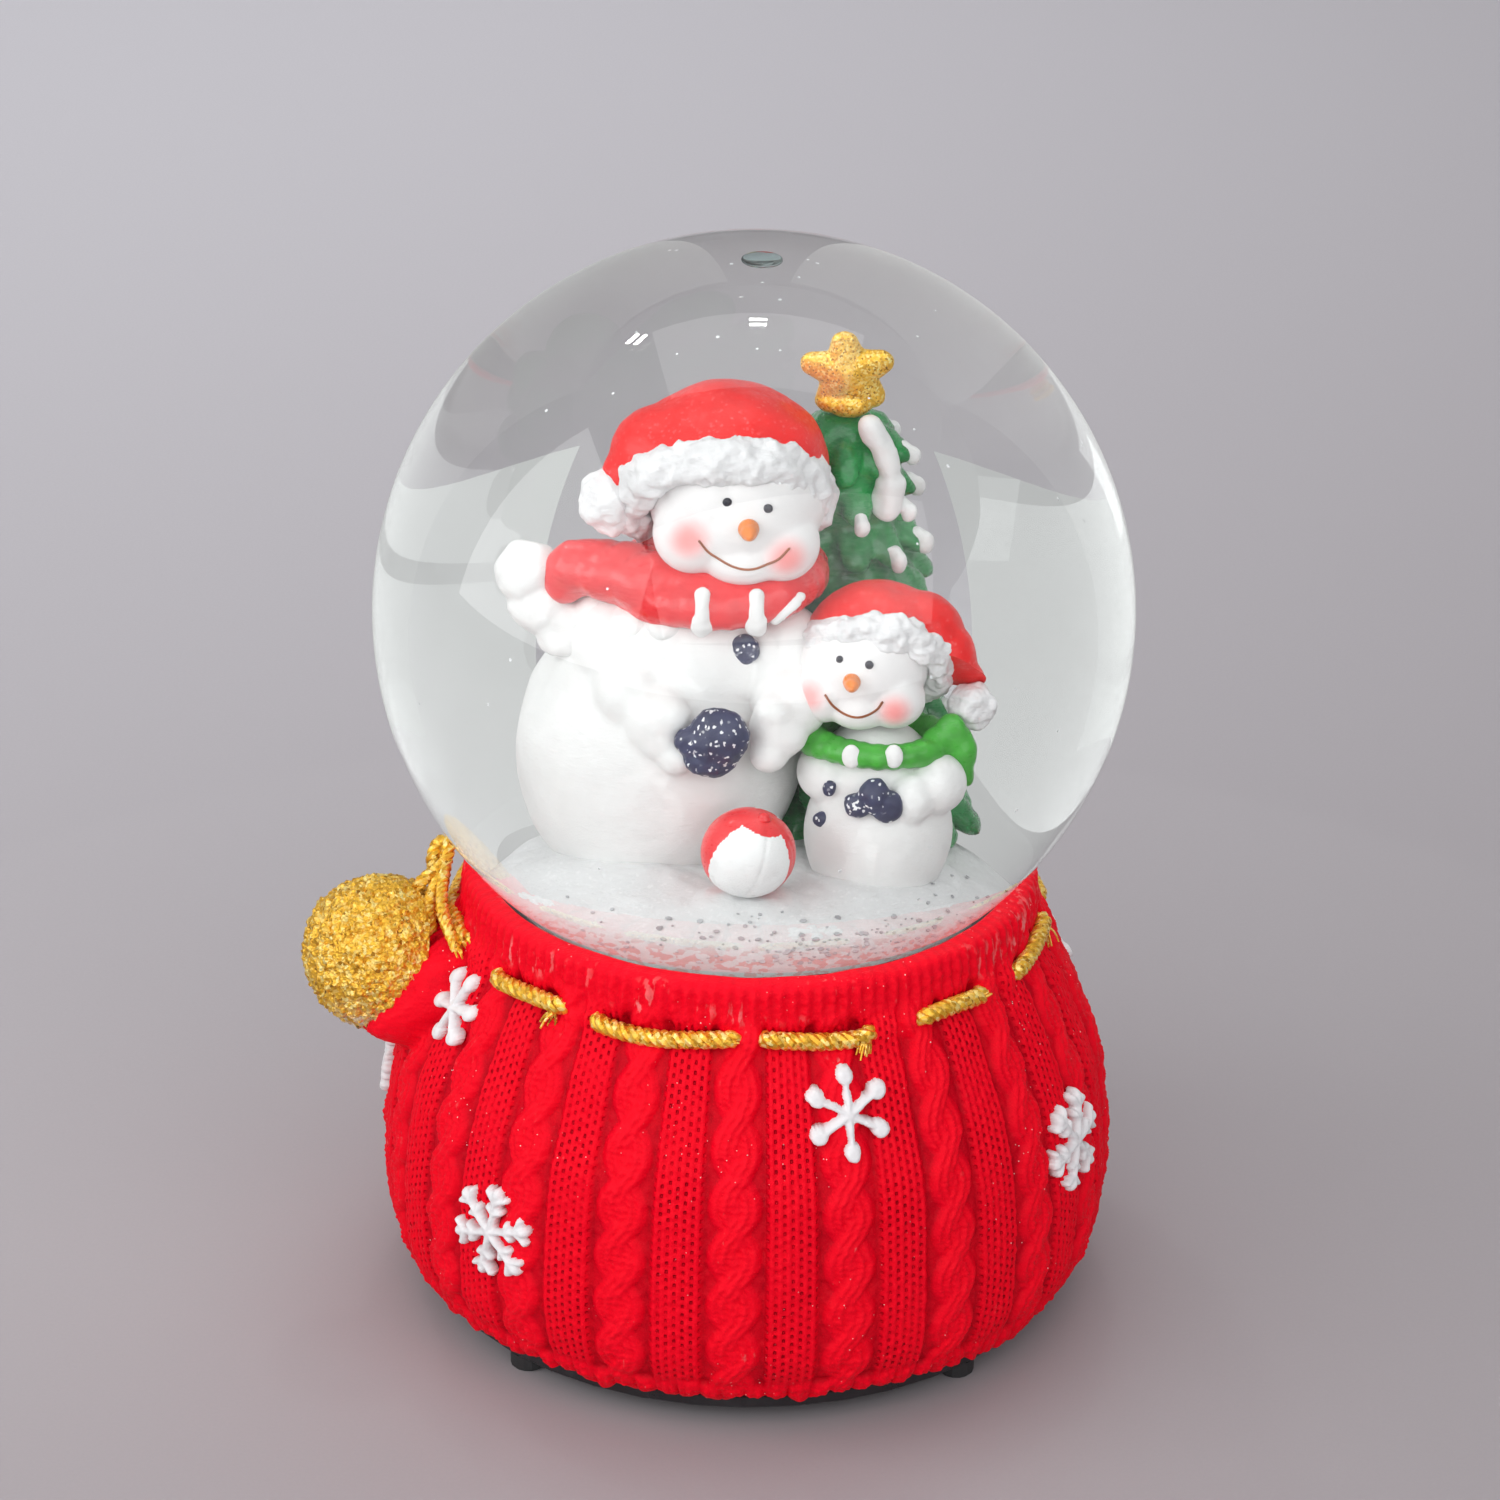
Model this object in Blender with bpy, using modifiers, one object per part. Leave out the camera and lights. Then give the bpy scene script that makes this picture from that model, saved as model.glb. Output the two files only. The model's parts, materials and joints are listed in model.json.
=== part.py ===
"""Snow globe on a knit-look sack base, with a wind-up music movement under the globe.

Units are metres and +Z is up. The origin is the middle of the bounding box, on the surface
that the feet stand on. The empty "globe_axis" stands on the axis of the globe, the sack and
the winding key, and every piece is placed from it.
"""

import math

import bmesh
import bpy
from mathutils import Matrix, Vector

MM = 0.001
GAP = 0.3 * MM  # clearance between pieces that touch on the real object
RUNNING = 0.1 * MM  # radial clearance of a shaft that turns in a hole

# Driving dimensions
GLOBE_R = 50 * MM  # outside radius of the blown glass
GLASS_WALL = 2.5 * MM
GLOBE_Z = 98 * MM  # height of the globe's centre
NECK_R = 31.5 * MM  # outside radius of the glass neck
NECK_FOOT_Z = 50.5 * MM  # lower lip of the neck
SACK_FOOT_Z = 4.9 * MM  # lower edge of the hem
SACK_STEPS = 40
CORD_R = 1.1 * MM
CORD_RING_R = 41 * MM
CORD_Z = 55 * MM
POMPOM_R = 11.2 * MM
POMPOM_REACH = 60.6 * MM  # from the globe's axis to the far side of the pom-pom
PLATE_R = 43.4 * MM
PLATE_Z = (2.6 * MM, 4.6 * MM)  # underside and top of the base plate
WELL_R = 20.8 * MM  # recess for the winding key
WELL_ROOF_Z = (12.2 * MM, 14.2 * MM)
FOOT_R = 2.4 * MM
FOOT_RING_R = 40.5 * MM
MOVEMENT_Z = (14.5 * MM, 16.1 * MM)  # underside and top of the bedplate
SHAFT_Z = 24 * MM  # height of the cylinder's shaft
AXIS_X = (POMPOM_REACH - GLOBE_R) / 2  # puts the origin under the middle of the bounding box

# Colours and finishes: base colour, roughness, metallic
FINISHES = {
    "red_knit": ((0.55, 0.01, 0.02), 0.55, 0.0),
    "gold_paint": ((0.62, 0.36, 0.06), 0.35, 0.8),
    "white_paint": ((0.82, 0.82, 0.82), 0.55, 0.0),
    "black_plastic": ((0.02, 0.02, 0.022), 0.45, 0.0),
    "rubber": ((0.03, 0.03, 0.03), 0.8, 0.0),
    "glass": ((0.9, 0.95, 0.94), 0.02, 0.0),
    "red_paint": ((0.6, 0.02, 0.03), 0.4, 0.0),
    "green_paint": ((0.06, 0.4, 0.04), 0.4, 0.0),
    "fir_green": ((0.01, 0.09, 0.03), 0.35, 0.0),
    "steel": ((0.5, 0.5, 0.52), 0.3, 1.0),
    "brass": ((0.7, 0.5, 0.2), 0.3, 1.0),
    "zinc": ((0.42, 0.43, 0.45), 0.45, 1.0),
    "clear_plastic": ((0.85, 0.88, 0.9), 0.1, 0.0),
}

for old in list(bpy.data.objects):
    bpy.data.objects.remove(old)

globe_parts = bpy.data.collections.new("snow_globe")
cutters = bpy.data.collections.new("cutters")
for collection in (globe_parts, cutters):
    bpy.context.scene.collection.children.link(collection)

globe_axis = bpy.data.objects.new("globe_axis", None)
globe_axis.location = (AXIS_X, 0, 0)
globe_parts.objects.link(globe_axis)


# Materials and placing


def finish(name):
    """The named Principled material, made the first time it is asked for."""
    found = bpy.data.materials.get(name)
    if found:
        return found
    color, roughness, metallic = FINISHES[name]
    made = bpy.data.materials.new(name)
    made.use_nodes = True
    shader = made.node_tree.nodes["Principled BSDF"]
    shader.inputs["Base Color"].default_value = (*color, 1)
    shader.inputs["Roughness"].default_value = roughness
    shader.inputs["Metallic"].default_value = metallic
    return made


def place(name, data, at=(0, 0, 0), turn=(0, 0, 0), look=None):
    """An object on the globe's axis. One with no look is a helper that other pieces are cut by."""
    obj = bpy.data.objects.new(name, data)
    obj.location = at
    obj.rotation_euler = turn
    obj.parent = globe_axis
    if look:
        data.materials.append(finish(look))
        globe_parts.objects.link(obj)
    else:
        obj.hide_render = True
        obj.display_type = "WIRE"
        cutters.objects.link(obj)
    return obj


def mesh_from(build, name):
    """A mesh filled by a function that draws in a bmesh."""
    form = bmesh.new()
    build(form)
    mesh = bpy.data.meshes.new(name)
    form.to_mesh(mesh)
    form.free()
    return mesh


def smooth(mesh):
    mesh.shade_smooth()
    mesh.set_sharp_from_angle(angle=math.radians(35))


# Basic shapes


def turned(name, profile, look=None, steps=32, closed=False, at=(0, 0, 0), turn=(0, 0, 0)):
    """A turned piece. The profile holds (radius, height) pairs, down the outer side."""
    count = len(profile)
    ends = count if closed else count - 1
    mesh = bpy.data.meshes.new(name)
    mesh.from_pydata(
        [(radius, 0, height) for radius, height in profile],
        [(i, (i + 1) % count) for i in range(ends)],
        [],
    )
    obj = place(name, mesh, at, turn, look)
    screw = obj.modifiers.new("turn", "SCREW")
    screw.steps = screw.render_steps = steps
    screw.use_merge_vertices = True
    screw.merge_threshold = 0.00001
    screw.use_smooth_shade = False
    return obj


def ellipsoid(name, radii, at, look=None, turn=(0, 0, 0), sides=12, rings=7):
    """A stretched ball. The helpers that are joined to a figure take fewer faces."""
    if not look:
        sides, rings = 10, 6

    def build(form):
        bmesh.ops.create_uvsphere(form, u_segments=sides, v_segments=rings, radius=1)
        bmesh.ops.scale(form, vec=radii, verts=form.verts)

    mesh = mesh_from(build, name)
    smooth(mesh)
    return place(name, mesh, at, turn, look)


def box(name, low, high, look=None):
    size = Vector(high) - Vector(low)

    def build(form):
        bmesh.ops.create_cube(form, size=1)
        bmesh.ops.scale(form, vec=size, verts=form.verts)

    middle = (Vector(high) + Vector(low)) / 2
    return place(name, mesh_from(build, name), middle, look=look)


def half_space(name, at, turn, side):
    """A cutter that fills the space over (side 1) or under (side -1) a tilted plane."""
    reach = 60 * MM

    def build(form):
        bmesh.ops.create_cube(form, size=reach)
        bmesh.ops.translate(form, vec=(0, 0, side * reach / 2), verts=form.verts)

    return place(name, mesh_from(build, name), at, turn)


def rod(name, radius, low, high, at=(0, 0), look=None, sides=16):
    """An upright cylinder between two heights."""

    def build(form):
        bmesh.ops.create_cone(
            form, cap_ends=True, segments=sides, radius1=radius, radius2=radius, depth=high - low
        )

    mesh = mesh_from(build, name)
    smooth(mesh)
    return place(name, mesh, (*at, (low + high) / 2), look=look)


def ring(name, major, minor, at, look=None, turn=(0, 0, 0), sides=20, minor_sides=6):
    bpy.ops.mesh.primitive_torus_add(
        major_radius=major,
        minor_radius=minor,
        major_segments=sides,
        minor_segments=minor_sides,
    )
    made = bpy.context.object
    mesh = made.data
    bpy.data.objects.remove(made)
    smooth(mesh)
    return place(name, mesh, at, turn, look)


def outline(name, loops, thickness, look, at=(0, 0, 0), turn=(0, 0, 0)):
    """A flat piece cut to an outline. The loops after the first are its holes."""
    curve = bpy.data.curves.new(name, "CURVE")
    curve.dimensions = "2D"
    curve.fill_mode = "BOTH"
    curve.extrude = thickness / 2
    for loop in loops:
        spline = curve.splines.new("POLY")
        spline.points.add(len(loop) - 1)
        spline.use_cyclic_u = True
        for point, (x, y) in zip(spline.points, loop):
            point.co = (x, y, 0, 1)
    return place(name, curve, at, turn, look)


def tube(name, points, radius, look, at=(0, 0, 0)):
    curve = bpy.data.curves.new(name, "CURVE")
    curve.dimensions = "3D"
    curve.bevel_depth = radius
    curve.bevel_resolution = 2
    curve.use_fill_caps = True
    spline = curve.splines.new("POLY")
    spline.points.add(len(points) - 1)
    for point, place_at in zip(spline.points, points):
        point.co = (*place_at, 1)
    return place(name, curve, at, look=look)


def circle(radius, count=12, middle=(0, 0)):
    step = 2 * math.pi / count
    return [
        (middle[0] + radius * math.cos(i * step), middle[1] + radius * math.sin(i * step))
        for i in range(count)
    ]


# Joining and cutting


def combine(target, other, operation):
    joined = target.modifiers.new(other.name, "BOOLEAN")
    joined.operation = operation
    joined.solver = "EXACT"
    joined.object = other


def cut(target, *others):
    for other in others:
        combine(target, other, "DIFFERENCE")


def join(target, *others):
    for other in others:
        combine(target, other, "UNION")


def final_mesh(obj):
    """A copy of the object's mesh with its modifiers applied and its loose caps welded."""
    bpy.context.view_layer.update()
    graph = bpy.context.evaluated_depsgraph_get()
    mesh = bpy.data.meshes.new_from_object(obj.evaluated_get(graph))
    form = bmesh.new()
    form.from_mesh(mesh)
    bmesh.ops.remove_doubles(form, verts=form.verts, dist=0.000001)
    form.to_mesh(mesh)
    form.free()
    return mesh


def plain_shape(obj):
    """The object's own shape, before anything was joined to it or cut from it."""
    booleans = [modifier for modifier in obj.modifiers if modifier.type == "BOOLEAN"]
    for modifier in booleans:
        modifier.show_viewport = False
    mesh = final_mesh(obj)
    for modifier in booleans:
        modifier.show_viewport = True
    return mesh


def carve(target, *neighbours):
    """Cuts each shape that a neighbour is built of, grown by the clearance, out of the target."""
    shapes = []
    for neighbour in neighbours:
        unions = [m.object for m in neighbour.modifiers if m.operation == "UNION"]
        shapes += [neighbour, *unions]
    for shape in shapes:
        mesh = plain_shape(shape)
        outward = [vertex.normal.copy() for vertex in mesh.vertices]
        for vertex, normal in zip(mesh.vertices, outward):
            vertex.co += normal * GAP
        mesh.materials.clear()
        name = f"{target.name}_clear_of_{shape.name}"
        cut(target, place(name, mesh, shape.location, shape.rotation_euler))


def polar(radius, degrees, height=0.0):
    angle = math.radians(degrees)
    return (radius * math.cos(angle), radius * math.sin(angle), height)


# The sack and what is on it

PLATE_SCREWS = [polar(37.6 * MM, degrees)[:2] for degrees in (90, 210, 330)]
SACK_PROFILE = [  # outer radius and height, from the rim down to the hem, in millimetres
    (38.7, 61.5),
    (39.3, 60.2),
    (39.1, 57.5),
    (39.6, 56.3),
    (39.6, 53.7),
    (40.7, 53.2),
    (41.9, 50),
    (43.7, 46),
    (45.3, 42),
    (47.0, 38),
    (48.0, 34),
    (48.6, 30),
    (49.1, 25),
    (49.2, 20),
    (49.0, 14),
    (48.0, 10),
    (46.6, 7.5),
    (45.4, 4.9),
]
CAVITY_PROFILE = [  # the hollow that holds the movement
    (30, 51.5),
    (38, 49),
    (41, 43),
    (43.2, 36),
    (44.4, 28),
    (44.6, 17),
    (43.6, 13.5),
    (41, 10),
    (41, 3),
]
BOWL_PROFILE = [  # the mouth that takes the globe
    (36.6, 63),
    (36.4, 60),
    (35.6, 57),
    (32.4, 55.5),
    (32.4, 50),
]


def capped(profile):
    """A profile in millimetres, closed to the axis at both ends."""
    top, bottom = profile[0][1], profile[-1][1]
    return [(r * MM, z * MM) for r, z in [(0, top), *profile, (0, bottom)]]


def sack_radius(height):
    """The sack's outer radius at a height."""
    points = [(r * MM, z * MM) for r, z in SACK_PROFILE]
    for (r_high, z_high), (r_low, z_low) in zip(points, points[1:]):
        if z_low <= height <= z_high:
            share = (height - z_low) / (z_high - z_low)
            return r_low + share * (r_high - r_low)
    raise ValueError(height)


def sack():
    base = turned("sack_base", capped(SACK_PROFILE), "red_knit", SACK_STEPS)
    lobe = turned(
        "pompom_lobe",
        [(0, 9 * MM), (8.6 * MM, 9 * MM), (9.4 * MM, 7.5 * MM), (10.4 * MM, 0), (0, 0)],
        steps=24,
        at=(-38 * MM, -3 * MM, 47.2 * MM),
        turn=(0, -math.pi / 2, 0),
    )
    cut(lobe, ring("cord_way", CORD_RING_R, CORD_R + GAP, (0, 0, CORD_Z), sides=SACK_STEPS))
    join(base, lobe)
    cut(base, turned("movement_cavity", capped(CAVITY_PROFILE), steps=SACK_STEPS))
    cut(base, turned("globe_mouth", capped(BOWL_PROFILE), steps=SACK_STEPS))
    for number, spot in enumerate(PLATE_SCREWS, 1):
        join(base, rod(f"screw_boss_{number}", 4.3 * MM, SACK_FOOT_Z + GAP, 12 * MM, spot, sides=12))
        cut(base, rod(f"boss_hole_{number}", 1.6 * MM, 2 * MM, 11 * MM, spot, sides=10))
    return base


def drawstring():
    ring("drawstring", CORD_RING_R, CORD_R, (0, 0, CORD_Z), "gold_paint", sides=SACK_STEPS)
    radius = 40.9 * MM
    arch = [(196, 57.9), (193, 59.4), (189, 61), (184.5, 61.9), (180, 61), (176, 59.4), (173, 57.9)]
    points = [polar(radius, degrees, height * MM) for degrees, height in arch]
    tube("drawstring_bow", points, CORD_R, "gold_paint")


def pompom():
    middle = POMPOM_R - POMPOM_REACH
    face_x = -47.3 * MM  # the flat side that is glued to the lobe
    ball = ellipsoid(
        "pompom", (POMPOM_R,) * 3, (middle, -4 * MM, 49 * MM), "gold_paint", sides=20, rings=12
    )
    cut(ball, box("pompom_flat", (face_x, -20 * MM, 30 * MM), (-30 * MM, 20 * MM, 70 * MM)))


def flake_loop(reach, bulb, neck):
    """A six-armed snowflake: straight arms that meet in the middle, each with a round tip."""
    loop = []
    for arm in range(6):
        turn = arm * math.pi / 3
        points = [(math.sqrt(3) * neck, -neck), (reach - 1.9 * bulb, -neck)]
        for degrees in (-90, 0, 90):
            angle = math.radians(degrees)
            points.append((reach - bulb + bulb * math.cos(angle), bulb * math.sin(angle)))
        points.append((reach - 1.9 * bulb, neck))
        for x, y in points:
            loop.append(
                (x * math.cos(turn) - y * math.sin(turn), x * math.sin(turn) + y * math.cos(turn))
            )
    return loop


FLAKES = [  # bearing in degrees, height and reach in millimetres, roll in degrees
    (-154.5, 48.4, 5.2, 12),
    (-72.6, 46.2, 6.0, 30),
    (-132.2, 24.9, 6.8, 20),
    (-26.2, 31.5, 6.8, 8),
    (176.0, 30.0, 5.8, 0),
    (128.0, 44.0, 5.6, 16),
    (66.0, 28.0, 6.8, 24),
    (24.0, 42.0, 6.0, 5),
]


def snowflakes():
    thickness = 0.8 * MM
    for number, (bearing, height, reach, roll) in enumerate(FLAKES, 1):
        z = height * MM
        step = 3 * MM
        lean = math.atan2(sack_radius(z - step) - sack_radius(z + step), 2 * step)
        lift = sack_radius(z) + 2 * GAP + thickness / 2
        flake = outline(
            f"snowflake_{number}",
            [flake_loop(reach * MM, 1.25 * MM, 0.55 * MM)],
            thickness,
            "white_paint",
            at=polar(lift, bearing, z),
        )
        normal = Vector(polar(math.cos(lean), bearing, math.sin(lean)))
        facing = normal.to_track_quat("Z", "Y")
        rolled = facing.to_matrix() @ Matrix.Rotation(math.radians(roll), 3, "Z")
        flake.rotation_euler = rolled.to_euler()


# Glass, stopper and seal


def arc(radius, low_angle, high_angle, count):
    """Points on the globe's section, angles from straight up, in degrees."""
    step = (high_angle - low_angle) / count
    return [
        (
            radius * math.sin(math.radians(low_angle + i * step)),
            GLOBE_Z + radius * math.cos(math.radians(low_angle + i * step)),
        )
        for i in range(count + 1)
    ]


def globe():
    inner_r = GLOBE_R - GLASS_WALL
    neck_inner = NECK_R - GLASS_WALL
    outer_end = 180 - math.degrees(math.asin(NECK_R / GLOBE_R))
    inner_end = 180 - math.degrees(math.asin(neck_inner / inner_r))
    outer = arc(GLOBE_R, 0, 90, 8) + arc(GLOBE_R, 90, outer_end, 4)[1:]
    inner = arc(inner_r, 0, 90, 7) + arc(inner_r, 90, inner_end, 4)[1:]
    lip = [(NECK_R, NECK_FOOT_Z), (neck_inner, NECK_FOOT_Z)]
    turned("glass_globe", outer + lip + inner[::-1], "glass", 32)


def stopper():
    plug = NECK_R - GLASS_WALL - GAP
    turned(
        "rubber_stopper",
        [
            (0, 58.5 * MM),
            (plug, 58.5 * MM),
            (plug, NECK_FOOT_Z - GAP),
            (NECK_R, NECK_FOOT_Z - GAP),
            (NECK_R, 47.5 * MM),
            (0, 47.5 * MM),
        ],
        "rubber",
    )


def seal():
    """The black ring that beds the glass in the mouth of the sack."""
    bed_r = GLOBE_R + GAP
    upper_r, lower_r = 35.3 * MM, 32.8 * MM

    def under_glass(radius):
        return GLOBE_Z - math.sqrt(bed_r**2 - radius**2)

    turned(
        "globe_seal",
        [
            (upper_r, under_glass(upper_r)),
            (upper_r, 57.4 * MM),
            (lower_r, 56.1 * MM),
            (lower_r, under_glass(lower_r)),
        ],
        "rubber",
        40,
        closed=True,
    )


# The figures in the globe


def mound():
    turned(
        "snow_mound",
        [
            (0, 72.6 * MM),
            (12 * MM, 72.4 * MM),
            (20 * MM, 71.4 * MM),
            (25.5 * MM, 69.0 * MM),
            (28.2 * MM, 65.0 * MM),
            (28.4 * MM, 58.8 * MM),
            (0, 58.8 * MM),
        ],
        "white_paint",
        28,
    )


def at(x, y, z):
    return (x * MM, y * MM, z * MM)


def dress_head(head, dome, brim, spot, turn):
    """Ends the head under the brim's plane and the hat's dome over it."""
    cut(head, half_space(f"{head.name}_hairline", spot, turn, 1))
    over = Vector(spot) + Vector((0, 0, GAP))
    cut(dome, half_space(f"{dome.name}_mouth", over, turn, -1))
    carve(head, brim)
    carve(dome, brim)


def parent_snowman():
    body = ellipsoid("parent_body", at(13.6, 12.2, 14.5), at(-8.6, 2, 84.5), "white_paint")
    join(body, ellipsoid("parent_chest", at(10.4, 8.8, 9.5), at(-5.5, 1, 94.5)))
    join(body, ellipsoid("parent_arm", at(4.2, 8, 3.8), at(-9.5, -7, 91), turn=(0.2, 0, -0.5)))
    join(body, ellipsoid("parent_mitten", at(3.7, 2.9, 3.5), at(-4.4, -12.2, 89)))
    join(body, ellipsoid("parent_arm_right", at(3.6, 7.2, 3.4), at(1.6, -6.6, 90.5)))
    head = ellipsoid("parent_head", at(9.9, 9.3, 9.4), at(-1.6, -0.8, 110.6), "white_paint")
    join(head, ellipsoid("parent_nose", at(1.2, 1.8, 1.2), at(-0.8, -10.4, 111.4)))
    hat = ellipsoid("parent_hat", at(10.7, 10.2, 9.2), at(-3.2, 1.6, 112.6), "red_paint")
    spot, turn = at(-3.6, 0.6, 112.4), (math.radians(-33), math.radians(-4), 0)
    brim = ring("parent_hat_brim", 9.7 * MM, 2.4 * MM, spot, "white_paint", turn)
    tip = ellipsoid("parent_hat_pompom", at(2.8, 2.8, 2.8), at(-15.4, 0.5, 110), "white_paint")
    scarf = ring("parent_scarf", 8.4 * MM, 3.1 * MM, at(-5, 0.4, 101.6), "red_paint")
    join(scarf, ellipsoid("scarf_tail", at(8, 3, 2.8), at(-15.5, 1, 100.6), turn=(0, -0.25, 0)))
    join(scarf, ellipsoid("scarf_fringe", at(4, 2.8, 4.6), at(-21, 1.6, 98.2), turn=(0, 0.5, 0)))
    dress_head(head, hat, brim, spot, turn)
    carve(tip, brim, scarf)
    carve(head, scarf, tip)
    carve(body, scarf, head)
    return body, head, hat, brim, scarf


def child_snowman():
    body = ellipsoid("child_body", at(7.4, 6.8, 9.4), at(12.4, -6.4, 79.8), "white_paint")
    join(body, ellipsoid("child_mitten", at(2.8, 2, 2.5), at(12.4, -13, 82.7)))
    join(body, ellipsoid("child_arm", at(2.6, 5, 2.6), at(17.4, -9, 82.6), turn=(0, 0, 0.5)))
    head = ellipsoid("child_head", at(7.1, 6.6, 6.6), at(11, -5.6, 95), "white_paint")
    join(head, ellipsoid("child_nose", at(0.9, 1.4, 0.9), at(10.2, -12.2, 95.6)))
    hat = ellipsoid("child_hat", at(7.6, 7, 7), at(12.2, -3.6, 95.9), "red_paint")
    spot, turn = at(11.8, -4.4, 96), (math.radians(-30), math.radians(8), 0)
    brim = ring("child_hat_brim", 6.7 * MM, 1.7 * MM, spot, "white_paint", turn)
    tip = ellipsoid("child_hat_pompom", at(2.2, 2.2, 2.2), at(22, -4, 89.6), "white_paint")
    scarf = ring("child_scarf", 5.9 * MM, 1.9 * MM, at(12.4, -5.4, 87.4), "green_paint")
    join(scarf, ellipsoid("child_tail", at(2.2, 2, 3.2), at(19, -4.6, 86)))
    dress_head(head, hat, brim, spot, turn)
    carve(tip, brim, scarf)
    carve(head, scarf)
    carve(body, scarf, head)
    return body, head, hat, brim, scarf


def star_loop(reach, waist):
    loop = []
    for i in range(10):
        radius = reach if i % 2 == 0 else waist
        angle = math.pi / 2 + i * math.pi / 5
        loop.append((radius * math.cos(angle), radius * math.sin(angle)))
    return loop


def fir_tree():
    tiers = [(10.4, 73.2, 7), (9.2, 80.5, 6), (8.0, 88, 5), (6.8, 95.5, 4.5), (5.6, 103, 3.5)]
    profile = [(0, 115.4), (3.2, 112), (5.4, 106.5)]
    for radius, foot, step_in in reversed(tiers):
        profile += [(radius, foot + 1.2), (radius - step_in / 2, foot)]
    profile.append((0, tiers[0][1]))
    points = [(r * MM, z * MM) for r, z in profile]
    tree = turned("fir_tree", points, "fir_green", 18, at=at(8.4, 11, 0))
    star = outline(
        "tree_star",
        [star_loop(4.6 * MM, 2.5 * MM)],
        2.8 * MM,
        "gold_paint",
        at=at(9, 9.6, 120.2),
        turn=(math.pi / 2, 0, 0),
    )
    return tree, star


def figures():
    """The figures stand a clearance above the mound and beside each other."""
    mound()
    ground = box("ground_cutter", at(-40, -40, 50), at(40, 40, 72.9))
    body, head, hat, brim, scarf = parent_snowman()
    small_body, small_head, small_hat, small_brim, small_scarf = child_snowman()
    ball = ellipsoid("beach_ball", at(5.2, 5.2, 5.2), at(-0.2, -18, 78.2), "white_paint")
    tree, star = fir_tree()
    for standing in (body, small_body, tree):
        cut(standing, ground)
    for piece in (small_scarf, small_hat, small_brim, small_head):
        carve(piece, scarf, brim, body)
    carve(small_body, ball, body, scarf)
    carve(body, ball)
    carve(tree, body, scarf, hat, brim, small_hat, small_brim, small_scarf, small_body, star)


# The base plate, feet and key

MOVEMENT_SCREWS = [polar(16.6 * MM, degrees)[:2] for degrees in (50, 180, 310)]
KEY_WING = [(0, 5), (3, 3.6), (9, 3.4), (10.6, 5), (10.6, 7.6), (8.6, 9), (0, 9)]  # reach, height


def base_plate():
    low, high = PLATE_Z
    roof_low, roof_high = WELL_ROOF_Z
    wall = 2 * MM
    edge = 0.3 * MM
    hole = 2.7 * MM
    plate = turned(
        "base_plate",
        [
            (WELL_R + wall, roof_high),
            (WELL_R + wall, high),
            (PLATE_R - edge, high),
            (PLATE_R, high - edge),
            (PLATE_R, low + edge),
            (PLATE_R - edge, low),
            (WELL_R, low),
            (WELL_R, roof_low),
            (hole, roof_low),
            (hole, roof_high),
        ],
        "black_plastic",
        SACK_STEPS,
        closed=True,
    )
    for number, spot in enumerate(PLATE_SCREWS, 1):
        cut(plate, rod(f"plate_hole_{number}", 1.6 * MM, 0, 6 * MM, spot, sides=12))
        screw(f"plate_screw_{number}", spot, low - GAP, 8 * MM)
    for number, spot in enumerate(MOVEMENT_SCREWS, 1):
        cut(plate, rod(f"roof_hole_{number}", 1.6 * MM, 11 * MM, 15 * MM, spot, sides=12))
        screw(f"movement_screw_{number}", spot, roof_low - GAP, 3.4 * MM)


def screw(name, spot, seat, length):
    """A pan-head screw that points up, with its head under the height of its seat."""
    head, shank, depth = 2.6 * MM, 1.3 * MM, 1.2 * MM
    piece = turned(
        name,
        [
            (0, seat + length),
            (0.8 * MM, seat + length),
            (shank, seat + length - 0.8 * MM),
            (shank, seat),
            (head, seat),
            (head, seat - 0.6 * depth),
            (0.75 * head, seat - depth),
            (0, seat - depth),
        ],
        "steel",
        10,
        at=(*spot, 0),
    )
    x, y = spot
    low = (x - 2 * head, y - 0.3 * MM, seat - 2 * depth)
    high = (x + 2 * head, y + 0.3 * MM, seat - 0.5 * depth)
    cut(piece, box(f"{name}_slot", low, high))


def feet():
    for number, degrees in enumerate((45, 135, 225, 315), 1):
        x, y, _ = polar(FOOT_RING_R, degrees)
        height = PLATE_Z[0] - GAP
        turned(
            f"foot_{number}",
            [(0, height), (FOOT_R, height), (FOOT_R, 0.3 * MM), (FOOT_R - 0.3 * MM, 0), (0, 0)],
            "rubber",
            14,
            at=(x, y, 0),
        )


def winding_key():
    turned(
        "winding_arbor",
        [
            (0, 29.6 * MM),
            (1.4 * MM, 29.6 * MM),
            (1.6 * MM, 29.2 * MM),
            (1.6 * MM, 6.2 * MM),
            (0, 6.2 * MM),
        ],
        "steel",
        24,
    )
    key = rod("winding_key", 3 * MM, 4.4 * MM, 10.2 * MM, look="brass", sides=20)
    for number, side in enumerate((-1, 1), 1):
        wing = outline(
            f"key_wing_{number}",
            [[(reach * MM, height * MM) for reach, height in KEY_WING]],
            2.2 * MM,
            None,
            turn=(math.pi / 2, 0, 0 if side > 0 else math.pi),
        )
        join(key, as_helper_mesh(wing))
    cut(key, rod("key_hole", 1.6 * MM + GAP, 6.2 * MM - GAP, 12 * MM, sides=20))


def as_helper_mesh(curve_object):
    """A curve helper made a mesh, so that a Boolean can use it."""
    name, spot, turn = curve_object.name, curve_object.location, curve_object.rotation_euler
    made = place(f"{name}_mesh", final_mesh(curve_object), spot, turn)
    bpy.data.objects.remove(curve_object)
    return made


# The music movement

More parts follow.
